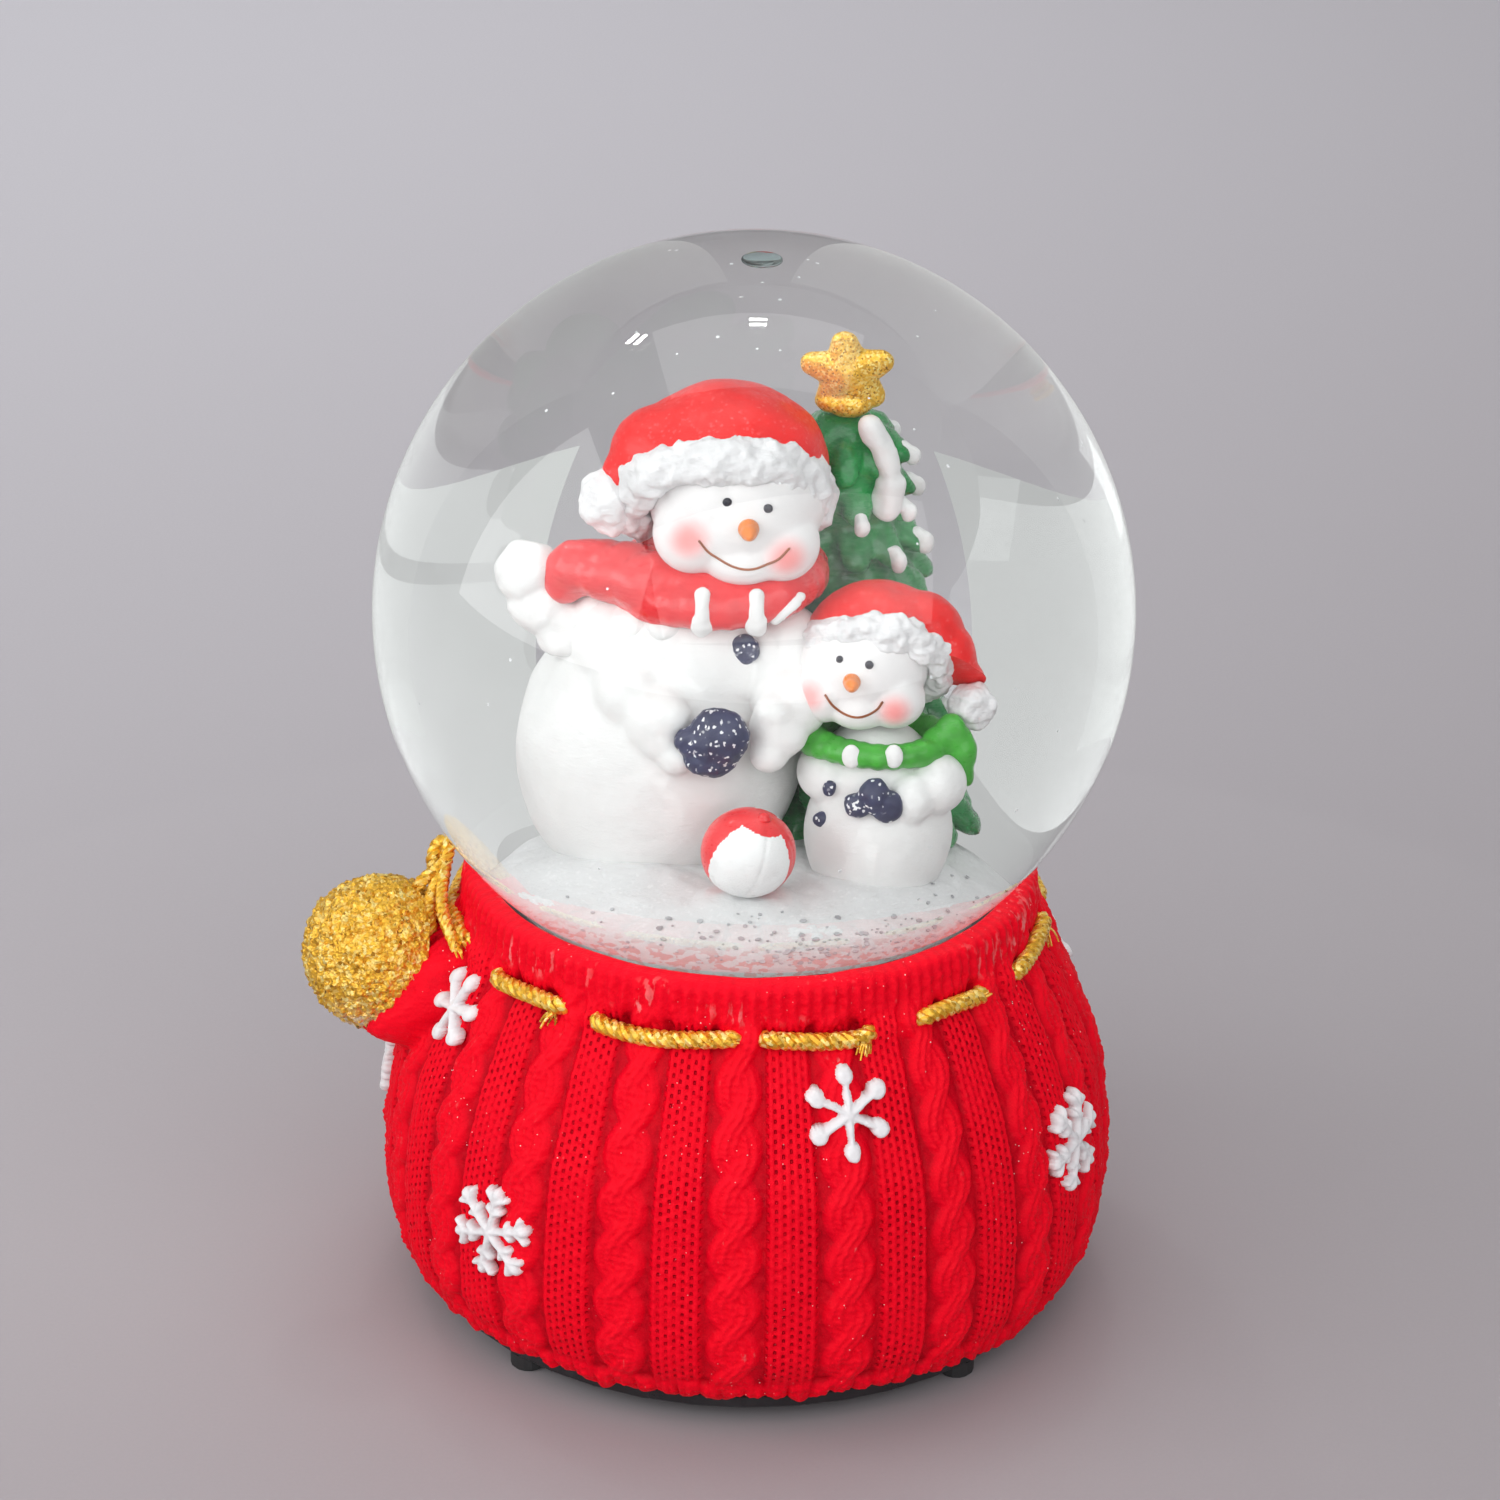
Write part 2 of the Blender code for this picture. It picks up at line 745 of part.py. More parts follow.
ALONG_X = (0, math.pi / 2, 0)  # turns a piece's own axis from +Z to +X
COMB_Y, GOVERNOR_Y = 1, -1  # sides of the cylinder
NOTES = 18
CYLINDER_X = (15.9 * MM, 29.7 * MM)  # ends of the pinned cylinder
CROWN_TEETH, PINION_TEETH, CYLINDER_TEETH = 24, 12, 20
COMB_SCREW_X = (18.2 * MM, 27.4 * MM)
COMB_SCREW_Y = COMB_Y * 15.6 * MM
LEDGE_Z = 23 * MM  # top of the ledge that the comb is screwed to
GOVERNOR_AXLE_Y = GOVERNOR_Y * 9.6 * MM
WORM_SPOT = (31.4 * MM, GOVERNOR_Y * 15.2 * MM)
ARBOR_R, SHAFT_R, AXLE_R, PIVOT_R = 1.6 * MM, 0.9 * MM, 0.7 * MM, 0.6 * MM
BED_LOW, BED_HIGH = (-14.5 * MM, -19.6 * MM), (37 * MM, 19.6 * MM)  # corners of the bedplate
COVER_TOP, COVER_WALL = 35 * MM, 0.8 * MM


def gear_loop(teeth, tip, root):
    """A gear's outline: four points a tooth, with flanks that lean in."""
    loop = []
    pitch = 2 * math.pi / teeth
    for tooth in range(teeth):
        middle = tooth * pitch
        corners = ((-0.3, root), (-0.14, tip), (0.14, tip), (0.3, root))
        for share, radius in corners:
            angle = middle + share * pitch
            loop.append((radius * math.cos(angle), radius * math.sin(angle)))
    return loop


def bedplate():
    low, high = MOVEMENT_Z
    plate = box("movement_bedplate", (*BED_LOW, low), (*BED_HIGH, high), "zinc")
    posts = {
        "comb_ledge": (at(15, 12.6, 15.5), (30.6 * MM, 18.4 * MM, LEDGE_Z)),
        "inner_post": (at(14.3, -3, 15.5), at(15.3, 3, 26.5)),
        "end_post": (at(34.9, -12.4, 15.5), at(35.9, 3, 26.5)),
    }
    for name, (near, far) in posts.items():
        join(plate, box(name, near, far))
    cut(plate, rod("arbor_hole", ARBOR_R + RUNNING, 10 * MM, 20 * MM, sides=24))
    cut(plate, level_rod("shaft_hole", SHAFT_R + RUNNING, 12 * MM, 40 * MM, 0))
    cut(plate, level_rod("axle_hole", AXLE_R + RUNNING, 33 * MM, 40 * MM, GOVERNOR_AXLE_Y))
    for number, x in enumerate(COMB_SCREW_X, 1):
        spot = (x, COMB_SCREW_Y)
        cut(plate, rod(f"ledge_hole_{number}", 1.1 * MM + GAP, 18 * MM, 25 * MM, spot, sides=12))
    for number, spot in enumerate(MOVEMENT_SCREWS, 1):
        cut(plate, rod(f"bed_hole_{number}", 1.3 * MM + GAP, 13 * MM, 17.5 * MM, spot, sides=12))
    cut(plate, rod("worm_hole", PIVOT_R + RUNNING, 15.2 * MM, 20 * MM, WORM_SPOT, sides=16))


def level_rod(name, radius, near, far, y):
    """A helper cylinder along X at the height of the shafts."""
    return turned(
        name,
        [(0, far - near), (radius, far - near), (radius, 0), (0, 0)],
        steps=16,
        at=(near, y, SHAFT_Z),
        turn=ALONG_X,
    )


def spring_drum():
    """The open barrel with the crown wheel round it, its spring and its cap."""
    low = MOVEMENT_Z[1] + GAP
    crown_low, crown_high = low, 18.4 * MM
    drum_high = 26.6 * MM
    barrel = turned(
        "spring_barrel",
        [
            (10.6 * MM, drum_high),
            (10.6 * MM, crown_high),
            (13.4 * MM, crown_high),
            (13.4 * MM, crown_low),
            (ARBOR_R + RUNNING, crown_low),
            (ARBOR_R + RUNNING, crown_high),
            (9.8 * MM, crown_high),
            (9.8 * MM, drum_high),
        ],
        "brass",
        28,
        closed=True,
    )

    def teeth(form):
        for tooth in range(CROWN_TEETH):
            turn = 2 * math.pi * tooth / CROWN_TEETH
            made = bmesh.ops.create_cube(form, size=1)["verts"]
            bmesh.ops.scale(form, vec=(2.0 * MM, 0.9 * MM, 1.6 * MM), verts=made)
            bmesh.ops.translate(form, vec=(12.2 * MM, 0, 18.7 * MM), verts=made)
            around = Matrix.Rotation(turn, 3, "Z")
            bmesh.ops.rotate(form, cent=(0, 0, 0), matrix=around, verts=made)

    join(barrel, place("crown_teeth", mesh_from(teeth, "crown_teeth")))
    mainspring()
    cap_low = drum_high + GAP
    turned(
        "barrel_cap",
        [
            (10.4 * MM, cap_low + 1 * MM),
            (10.4 * MM, cap_low),
            (ARBOR_R + RUNNING, cap_low),
            (ARBOR_R + RUNNING, cap_low + 1 * MM),
        ],
        "brass",
        24,
        closed=True,
    )


def mainspring():
    """A flat spiral of spring steel between the arbor and the wall of the barrel."""
    turns, per_turn = 4, 14
    half = 0.3 * MM
    start, end = 2.4 * MM, 9.0 * MM
    sides = []
    for offset in (-half, half):
        points = []
        for i in range(turns * per_turn + 1):
            angle = 2 * math.pi * i / per_turn
            radius = start + (end - start) * i / (turns * per_turn) + offset
            points.append((radius * math.cos(angle), radius * math.sin(angle)))
        sides.append(points)
    loop = sides[1] + sides[0][::-1]
    outline("mainspring", [loop], 6.6 * MM, "steel", at=(0, 0, 22.3 * MM))


def music_cylinder():
    near, far = CYLINDER_X
    radius = 6.2 * MM
    start, end = 11 * MM, 36 * MM
    cylinder = turned(
        "music_cylinder",
        [
            (0, end - start),
            (SHAFT_R, end - start),
            (SHAFT_R, far - start),
            (radius, far - start),
            (radius, near - start),
            (SHAFT_R, near - start),
            (SHAFT_R, 0),
            (0, 0),
        ],
        "brass",
        24,
        at=(start, 0, SHAFT_Z),
        turn=ALONG_X,
    )

    def pins(form):
        for note in range(NOTES):
            turn = 2 * math.pi * ((note * 7) % NOTES) / NOTES + 0.1
            made = bmesh.ops.create_cube(form, size=1)["verts"]
            bmesh.ops.scale(form, vec=(1.2 * MM, 0.3 * MM, 0.3 * MM), verts=made)
            along = near - start + (note + 0.5) * (far - near) / NOTES
            bmesh.ops.translate(form, vec=(radius, 0, along), verts=made)
            around = Matrix.Rotation(turn, 3, "Z")
            bmesh.ops.rotate(form, cent=(0, 0, 0), matrix=around, verts=made)

    spikes = place("cylinder_pins", mesh_from(pins, "cylinder_pins"), (start, 0, SHAFT_Z), ALONG_X)
    join(cylinder, spikes)
    hole = circle(SHAFT_R + GAP)
    pinion = gear_loop(PINION_TEETH, 4.3 * MM, 3.4 * MM)
    wheel = gear_loop(CYLINDER_TEETH, 6.9 * MM, 6.2 * MM)
    outline(
        "cylinder_pinion", [pinion, hole], 2 * MM, "brass", (12.4 * MM, 0, SHAFT_Z), ALONG_X
    )
    outline("cylinder_gear", [wheel, hole], 1.2 * MM, "brass", (33.8 * MM, 0, SHAFT_Z), ALONG_X)


def comb():
    """A steel comb whose tines end a hair's breadth from the pins' circle."""
    near, far = CYLINDER_X
    back, root, tip = 18.2 * MM, 12.8 * MM, 7.4 * MM
    pitch = (far - near) / NOTES
    gap = 0.25 * MM
    loop = [(near - 0.4 * MM, back), (near - 0.4 * MM, root)]
    for note in range(NOTES):
        low = near + note * pitch + gap / 2
        high = low + pitch - gap
        loop += [(low, root), (low, tip), (high, tip), (high, root)]
    loop += [(far + 0.4 * MM, root), (far + 0.4 * MM, back)]
    holes = [circle(1.1 * MM + GAP, 12, (x, COMB_SCREW_Y)) for x in COMB_SCREW_X]
    thickness = 0.8 * MM
    low_z = LEDGE_Z + GAP
    outline("steel_comb", [loop, *holes], thickness, "steel", at=(0, 0, low_z + thickness / 2))
    for number, x in enumerate(COMB_SCREW_X, 1):
        seat = low_z + thickness + GAP
        turned(
            f"comb_screw_{number}",
            [
                (0, seat + 1.2 * MM),
                (1.6 * MM, seat + 1.2 * MM),
                (2.1 * MM, seat + 0.7 * MM),
                (2.1 * MM, seat),
                (1.1 * MM, seat),
                (1.1 * MM, seat - 5 * MM),
                (0, seat - 5 * MM),
            ],
            "steel",
            12,
            at=(x, COMB_SCREW_Y, 0),
        )


def governor():
    """The wheel, the worm with its fan, and the bracket over them."""
    start, end = 30.4 * MM, 35.8 * MM
    near, far = 30.8 * MM, 32 * MM
    pinion_near, pinion_far = 33.2 * MM, 34.4 * MM
    turned(
        "governor_wheel",
        [
            (0, end - start),
            (AXLE_R, end - start),
            (AXLE_R, pinion_far - start),
            (2.3 * MM, pinion_far - start),
            (2.3 * MM, pinion_near - start),
            (AXLE_R, pinion_near - start),
            (AXLE_R, far - start),
            (4.1 * MM, far - start),
            (4.1 * MM, near - start),
            (AXLE_R, near - start),
            (AXLE_R, 0),
            (0, 0),
        ],
        "brass",
        16,
        at=(start, GOVERNOR_AXLE_Y, SHAFT_Z),
        turn=ALONG_X,
    )
    fly = turned("governor_fan", worm_profile(), "steel", 10, at=(*WORM_SPOT, 0))
    x, y = WORM_SPOT
    low = (x - 3.1 * MM, y - 0.3 * MM, 28.4 * MM)
    high = (x + 3.1 * MM, y + 0.3 * MM, 31 * MM)
    join(fly, box("fan_blades", low, high))
    bracket = box("governor_bracket", at(25.6, -18.2, 16.4), at(27.4, -12.2, 32.8), "steel")
    join(bracket, box("bracket_arm", at(25.6, -17.2, 31.8), at(33.4, -13.2, 32.8)))
    join(bracket, box("bracket_foot", at(19.6, -18.2, 16.4), at(27.4, -12.2, 17.4)))
    cut(bracket, rod("arm_hole", PIVOT_R + RUNNING, 30 * MM, 34 * MM, WORM_SPOT, sides=16))


def worm_profile():
    """The fan's spindle: a pivot at each end and four turns of the worm between them."""
    worm_top, worm_foot, turn_height = 27.4 * MM, 19.2 * MM, 2 * MM
    crest, groove = 1.2 * MM, 0.8 * MM
    profile = [(0, 32.6 * MM), (PIVOT_R, 32.6 * MM), (PIVOT_R, worm_top)]
    for number in range(4):
        top = worm_top - number * turn_height
        profile += [(crest, top), (crest, top - 0.9 * MM)]
        profile += [(groove, top - 1.2 * MM), (groove, top - 1.8 * MM)]
    profile += [(crest, worm_foot), (PIVOT_R, worm_foot), (PIVOT_R, 15.6 * MM), (0, 15.6 * MM)]
    return profile


def movement_cover():
    """A clear box, open at the bottom, that stands on the bedplate."""
    foot = MOVEMENT_Z[1] + GAP
    cover = box("movement_cover", (*BED_LOW, foot), (*BED_HIGH, COVER_TOP), "clear_plastic")
    near = [edge + COVER_WALL for edge in BED_LOW]
    far = [edge - COVER_WALL for edge in BED_HIGH]
    cut(cover, box("cover_hollow", (*near, 10 * MM), (*far, COVER_TOP - COVER_WALL)))


sack()
drawstring()
pompom()
snowflakes()
globe()
stopper()
seal()
figures()
base_plate()
feet()
winding_key()
bedplate()
spring_drum()
music_cylinder()
comb()
governor()
movement_cover()
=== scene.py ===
"""Looks of the snow globe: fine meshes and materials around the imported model.

Lengths in the shape functions are millimetres from the globe's axis, and spot() turns them into
the frame's metres. Every visible piece rides on a body of the frame.
"""

import itertools
import json
import math
import random

import bmesh
import bpy
import numpy as np
from mathutils import Euler, Matrix, Vector, kdtree
from mathutils.bvhtree import BVHTree

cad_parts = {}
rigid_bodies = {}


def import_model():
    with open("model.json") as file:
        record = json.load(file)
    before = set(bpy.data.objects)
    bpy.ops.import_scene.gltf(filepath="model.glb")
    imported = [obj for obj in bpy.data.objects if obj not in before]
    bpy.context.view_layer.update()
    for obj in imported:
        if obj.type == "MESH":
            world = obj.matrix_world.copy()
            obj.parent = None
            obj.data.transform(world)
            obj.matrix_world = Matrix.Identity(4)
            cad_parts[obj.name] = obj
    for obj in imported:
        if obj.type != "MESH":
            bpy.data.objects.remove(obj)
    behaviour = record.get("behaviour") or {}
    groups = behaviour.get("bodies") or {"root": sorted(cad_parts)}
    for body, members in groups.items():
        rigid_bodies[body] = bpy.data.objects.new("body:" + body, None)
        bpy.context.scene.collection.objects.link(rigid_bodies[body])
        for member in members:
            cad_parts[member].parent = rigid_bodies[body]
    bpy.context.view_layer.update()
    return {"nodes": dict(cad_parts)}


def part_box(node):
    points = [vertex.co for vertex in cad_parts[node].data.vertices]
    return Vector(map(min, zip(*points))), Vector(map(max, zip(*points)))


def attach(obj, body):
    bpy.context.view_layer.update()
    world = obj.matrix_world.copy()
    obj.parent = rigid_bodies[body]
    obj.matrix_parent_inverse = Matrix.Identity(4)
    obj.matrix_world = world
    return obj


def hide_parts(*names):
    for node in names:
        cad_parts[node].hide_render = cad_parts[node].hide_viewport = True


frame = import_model()

MM = 0.001
glass_low, glass_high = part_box("glass_globe")
AXIS_X = (glass_low.x + glass_high.x) / 2
GLOBE_R = (glass_high.x - glass_low.x) / 2 / MM
GLOBE_Z = glass_high.z / MM - GLOBE_R
GLASS_WALL = 2.5
dice = random.Random(7)


def spot(x, y, z):
    """A point given in millimetres from the globe's axis, in the frame's metres."""
    return Vector((x * MM + AXIS_X, y * MM, z * MM))


def polar(radius, degrees, height):
    angle = math.radians(degrees)
    return (radius * math.cos(angle), radius * math.sin(angle), height)


# Camera, floor and light

SIGHT = Vector((-0.24, 0, 77.87))
SIGHT_DISTANCE, SIGHT_RISE, SIGHT_ROLL = 700, 25, 0.9
CARD_FAR, CARD_DISTANCE, CARD_TOP = 72, 172, 300  # last bearing from the back, radius and height


def direction(bearing, rise):
    """A unit vector. Bearing 0 points to the front, and 90 to the right."""
    turn, lift = math.radians(bearing), math.radians(rise)
    return Vector(
        (math.sin(turn) * math.cos(lift), -math.cos(turn) * math.cos(lift), math.sin(lift))
    )


def camera():
    data = bpy.data.cameras.new("camera")
    data.lens = 126.5
    data.sensor_width = 36
    data.clip_start = 0.01
    made = bpy.data.objects.new("camera", data)
    bpy.context.scene.collection.objects.link(made)
    away = direction(0, SIGHT_RISE)
    made.location = spot(*(SIGHT + away * SIGHT_DISTANCE))
    aim = away.to_track_quat("Z", "Y").to_matrix()
    made.rotation_euler = (aim @ Matrix.Rotation(math.radians(SIGHT_ROLL), 3, "Z")).to_euler()
    bpy.context.scene.camera = made


def softbox(name, bearing, rise, distance, size, radiance, aim=(0, 0, 90), mirrored=True):
    """A rectangular lamp of a given brightness, turned to face its aim."""
    width, height = size
    data = bpy.data.lights.new(name, "AREA")
    data.shape = "RECTANGLE"
    data.size, data.size_y = width * MM, height * MM
    data.energy = radiance * math.pi * width * height * MM * MM
    made = bpy.data.objects.new(name, data)
    made.visible_glossy = made.visible_transmission = mirrored
    bpy.context.scene.collection.objects.link(made)
    away = direction(bearing, rise)
    made.location = spot(*(Vector(aim) + away * distance))
    made.rotation_euler = away.to_track_quat("Z", "Y").to_euler()


def side_card(name, near, side, brightness):
    """A curved card behind the object, at its right (1) or left (-1), that glows in place of a lit
    white board.

    It shows only in the glass.
    """
    mesh = bpy.data.meshes.new(name)
    steps = 16
    points, faces = [], []
    for step in range(steps + 1):
        bearing = 180 - side * (near + (CARD_FAR - near) * step / steps)
        x, y, _ = direction(bearing, 0) * CARD_DISTANCE
        points += [spot(x, y, 0), spot(x, y, CARD_TOP)]
    for step in range(steps):
        faces.append((2 * step, 2 * step + 2, 2 * step + 3, 2 * step + 1))
    mesh.from_pydata(points, [], faces)
    made = bpy.data.objects.new(name, mesh)
    bpy.context.scene.collection.objects.link(made)
    look = bpy.data.materials.new(name)
    look.use_nodes = True
    tree = look.node_tree
    tree.nodes.remove(tree.nodes["Principled BSDF"])
    # painted light: the white board glows instead of being lit by the lamps
    glow = tree.nodes.new("ShaderNodeEmission")
    glow.inputs["Strength"].default_value = brightness
    tree.links.new(glow.outputs[0], tree.nodes["Material Output"].inputs["Surface"])
    mesh.materials.append(look)
    made.visible_camera = False
    made.visible_diffuse = False
    made.visible_shadow = False


def studio():
    """A round sweep: a floor that curves up into a wall all the way round, with painted light on it.
    """
    flat, rise, wall = 1500, 900, 1500
    profile = [(0, 0), (flat, 0)]
    for step in range(1, 13):
        angle = math.pi / 2 * step / 12
        profile.append((flat + rise * math.sin(angle), rise - rise * math.cos(angle)))
    profile.append((flat + rise, rise + wall))
    floor = turned("floor", profile, 96)
    look = Look("floor_paper", (0.4, 0.38, 0.39), roughness=0.75)
    # painted light: the floor is painted lighter round a spot behind and left of the object, and
    # darker towards the front
    tone = look.mix(look.near((-380, 800, 0), 1250), (0.33, 0.30, 0.312), (0.84, 0.83, 0.87))
    # painted light: the sweep is painted a lighter grey far from the middle, up its curve and wall
    painted_wall_light = look.levels(look.near((0, 0, 0), 2300), 0.24, 0.02)
    tone = look.mix(painted_wall_light, tone, (0.66, 0.65, 0.68))
    fibres = look.levels(look.noise(0.5, 4), 0.3, 0.7, 0.0, 0.05)
    look.connect(look.mix(fibres, tone, (0.2, 0.2, 0.2)), "Base Color")
    floor.data.materials.append(look.material)
    world = bpy.data.worlds.new("room")
    world.use_nodes = True
    world.node_tree.nodes["Background"].inputs["Color"].default_value = (0.95, 0.94, 0.98, 1)
    world.node_tree.nodes["Background"].inputs["Strength"].default_value = 0.4
    bpy.context.scene.world = world
    bpy.context.scene.view_settings.view_transform = "Standard"
    softbox("left_wall", -90, 0, 500, (760, 560), 2.15, aim=(0, -340, 385))
    softbox("front_window", 14, 36, 760, (1300, 560), 1.45)
    softbox("front_low", 4, 9, 900, (1800, 260), 1.5, aim=(0, 0, 40))
    softbox("top", 180, 74, 1150, (900, 600), 1.25)
    softbox("floor_back", 0, 90, 700, (1500, 500), 0.6, aim=(-100, 650, 0), mirrored=False)
    for name, bearing, rise in (("lamp_middle", 180.2, 63.8), ("lamp_left", 221.7, 52.4)):
        for number, nudge in enumerate((-1.1, 1.1), 1):
            softbox(f"{name}_{number}", bearing, rise + nudge, 1000, (60, 20), 45)
    side_card("card_right", 8, 1, 0.6)
    side_card("card_left", 8, -1, 0.54)


# Materials


class Look:
    """A Principled material, with short names for the nodes that give it its detail."""

    def __init__(self, name, color, roughness=0.5, metallic=0.0, **values):
        self.material = bpy.data.materials.new(name)
        self.material.use_nodes = True
        self.tree = self.material.node_tree
        self.shader = self.tree.nodes["Principled BSDF"]
        self.shader.inputs["Base Color"].default_value = (*color, 1)
        self.shader.inputs["Roughness"].default_value = roughness
        self.shader.inputs["Metallic"].default_value = metallic
        for words, value in values.items():
            label = words.replace("_", " ").title().replace("Ior", "IOR")
            self.shader.inputs[label].default_value = value
        self.place = self.node("ShaderNodeTexCoord").outputs["Object"]

    def node(self, kind, **settings):
        made = self.tree.nodes.new(kind)
        for setting, value in settings.items():
            setattr(made, setting, value)
        return made

    def link(self, value, socket):
        """Links an output to a socket, or writes a plain value into it."""
        if isinstance(value, bpy.types.NodeSocket):
            self.tree.links.new(value, socket)
        else:
            is_color = isinstance(value, tuple) and len(value) == 3
            socket.default_value = (*value, 1) if is_color else value

    def connect(self, output, label):
        self.tree.links.new(output, self.shader.inputs[label])

    def noise(self, size, detail=3, stretch=(1, 1, 1), distortion=0.0):
        """Cloudy values from 0 to 1, with features of a size in millimetres."""
        mapping = self.node("ShaderNodeMapping")
        mapping.inputs["Scale"].default_value = stretch
        self.link(self.place, mapping.inputs["Vector"])
        made = self.node("ShaderNodeTexNoise")
        made.inputs["Scale"].default_value = 1 / (size * MM)
        made.inputs["Detail"].default_value = detail
        made.inputs["Distortion"].default_value = distortion
        self.link(mapping.outputs["Vector"], made.inputs["Vector"])
        return made.outputs["Fac"]

    def cells(self, size, kind="Distance"):
        """Voronoi cells of a size in millimetres: the distance or a random colour of each."""
        made = self.node("ShaderNodeTexVoronoi")
        made.inputs["Scale"].default_value = 1 / (size * MM)
        self.link(self.place, made.inputs["Vector"])
        return made.outputs[kind]

    def near(self, centre, radius):
        """A soft spot: 1 at the centre and 0 from the radius on. Both are in millimetres."""
        away = self.node("ShaderNodeVectorMath", operation="DISTANCE")
        self.link(self.place, away.inputs[0])
        away.inputs[1].default_value = spot(*centre)
        fade = self.node("ShaderNodeMapRange", interpolation_type="SMOOTHERSTEP")
        self.link(away.outputs["Value"], fade.inputs["Value"])
        fade.inputs["From Min"].default_value = radius * MM
        fade.inputs["From Max"].default_value = 0
        return fade.outputs["Result"]

    def place_z(self):
        """The height over the shelf, in millimetres."""
        parts = self.node("ShaderNodeSeparateXYZ")
        self.link(self.place, parts.inputs[0])
        return self.math("DIVIDE", parts.outputs["Z"], MM)

    def attribute(self, name):
        return self.node("ShaderNodeAttribute", attribute_name=name).outputs["Fac"]

    def math(self, operation, first, second=0.0):
        made = self.node("ShaderNodeMath", operation=operation)
        self.link(first, made.inputs[0])
        self.link(second, made.inputs[1])
        return made.outputs[0]

    def ramp(self, factor, stops):
        made = self.node("ShaderNodeValToRGB")
        elements = made.color_ramp.elements
        while len(elements) < len(stops):
            elements.new(0.5)
        for element, (position, color) in zip(elements, stops):
            element.position = position
            element.color = (*color, 1)
        self.link(factor, made.inputs["Fac"])
        return made.outputs["Color"]

    def levels(self, factor, low, high, at_low=0.0, at_high=1.0):
        made = self.node("ShaderNodeMapRange")
        self.link(factor, made.inputs["Value"])
        for label, value in zip(
            ("From Min", "From Max", "To Min", "To Max"), (low, high, at_low, at_high)
        ):
            made.inputs[label].default_value = value
        return made.outputs["Result"]

    def mix(self, factor, first, second):
        made = self.node("ShaderNodeMix", data_type="RGBA")
        self.link(factor, made.inputs[0])
        self.link(first, made.inputs[6])
        self.link(second, made.inputs[7])
        return made.outputs[2]

    def bump(self, height, depth, under=None, strength=1.0):
        """Adds a relief of a depth in millimetres, and gives its normal for the next one."""
        made = self.node("ShaderNodeBump")
        made.inputs["Strength"].default_value = strength
        made.inputs["Distance"].default_value = depth * MM
        self.link(height, made.inputs["Height"])
        if under:
            self.link(under, made.inputs["Normal"])
        self.connect(made.outputs["Normal"], "Normal")
        return made.outputs["Normal"]


def painted(name, color, roughness=0.4, shade=0.75, glints=0.0, grain=0.05, **values):
    """Brushed paint on cast resin: soft brush streaks, thin places and a little relief."""
    look = Look(name, color, roughness, **values)
    dark = tuple(part * shade for part in color)
    cloudy = look.noise(3.5, 4, distortion=0.6)
    tone = look.mix(look.levels(cloudy, 0.3, 0.7), dark, color)
    if glints:
        speck = look.levels(look.cells(0.27, "Color"), 0.8, 0.84)
        tone = look.mix(look.math("MULTIPLY", speck, glints), tone, (0.95, 0.95, 0.95))
    look.connect(tone, "Base Color")
    streaks = look.noise(0.8, 3, stretch=(1, 1, 2.5))
    look.connect(look.levels(streaks, 0.3, 0.7, roughness - 0.1, roughness + 0.12), "Roughness")
    fine = look.bump(streaks, grain)
    look.bump(look.noise(4, 2), grain * 3, fine)
    return look


def gold_look(name, glitter=1.0, size=0.5):
    """Gold glitter paint: bright grains over brown gold, with dark and pale specks."""
    look = Look(name, (0.85, 0.5, 0.06), 0.34, 0.6)
    grain = look.cells(size, "Color")
    color = look.ramp(
        grain,
        [
            (0.0, (0.14, 0.05, 0.005)),
            (0.2, (0.62, 0.3, 0.02)),
            (0.55, (0.95, 0.56, 0.05)),
            (0.88, (1.0, 0.88, 0.36)),
        ],
    )
    cloudy = look.levels(look.noise(3, 3), 0.35, 0.65, 0.0, 0.55)
    look.connect(look.mix(cloudy, color, (0.85, 0.47, 0.04)), "Base Color")
    look.connect(look.levels(grain, 0, 1, 0.22, 0.5), "Roughness")
    first = look.bump(look.cells(0.45), 0.12 * glitter)
    look.bump(look.noise(0.9, 4), 0.12 * glitter, first)
    return look


def clear_look(name, ior, tint=(1, 1, 1), waves=0.0):
    """Clear glass or plastic that lets lamps light what is inside."""
    look = Look(name, tint, 0.0, ior=ior, transmission_weight=1.0)
    if waves:
        look.bump(look.noise(60, 1), waves)
    through = look.node("ShaderNodeBsdfTransparent")
    through.inputs["Color"].default_value = (*tint, 1)
    path = look.node("ShaderNodeLightPath")
    both = look.node("ShaderNodeMixShader")
    look.tree.links.new(path.outputs["Is Shadow Ray"], both.inputs[0])
    look.tree.links.new(look.shader.outputs[0], both.inputs[1])
    look.tree.links.new(through.outputs[0], both.inputs[2])
    output = look.tree.nodes["Material Output"]
    look.tree.links.new(both.outputs[0], output.inputs["Surface"])
    return look


# Shapes


def smooth_noise(points, pitch, seed=0):
    """Random values from -1 to 1 that change smoothly, one lattice cell for each pitch."""
    cell = np.asarray(points, float) / pitch
    low = np.floor(cell).astype(np.int64)
    share = cell - low
    share = share * share * (3 - 2 * share)
    total = np.zeros(len(cell))
    for corner in itertools.product((0, 1), repeat=3):
        x, y, z = (low + np.array(corner)).T
        mixed = (x * 73856093 ^ y * 19349663 ^ z * 83492791 ^ (seed + 1) * 2654435761) & 0x7FFFFFFF
        mixed = ((mixed ^ (mixed >> 13)) * 1274126177) & 0x7FFFFFFF
        mixed = ((mixed ^ (mixed >> 15)) * 1103515245) & 0x7FFFFFFF
        weight = np.where(np.array(corner), share, 1 - share).prod(axis=1)
        total += weight * (mixed / 0x3FFFFFFF - 1)
    return total


def piece(name, mesh, look, body="base", replaces=()):
    """A visible object that rides on a body of the frame."""
    made = bpy.data.objects.new(name, mesh)
    bpy.context.scene.collection.objects.link(made)
    for one in look if isinstance(look, (list, tuple)) else [look]:
        mesh.materials.append(one.material)
    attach(made, body)
    if replaces:
        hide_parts(*replaces)
    return made


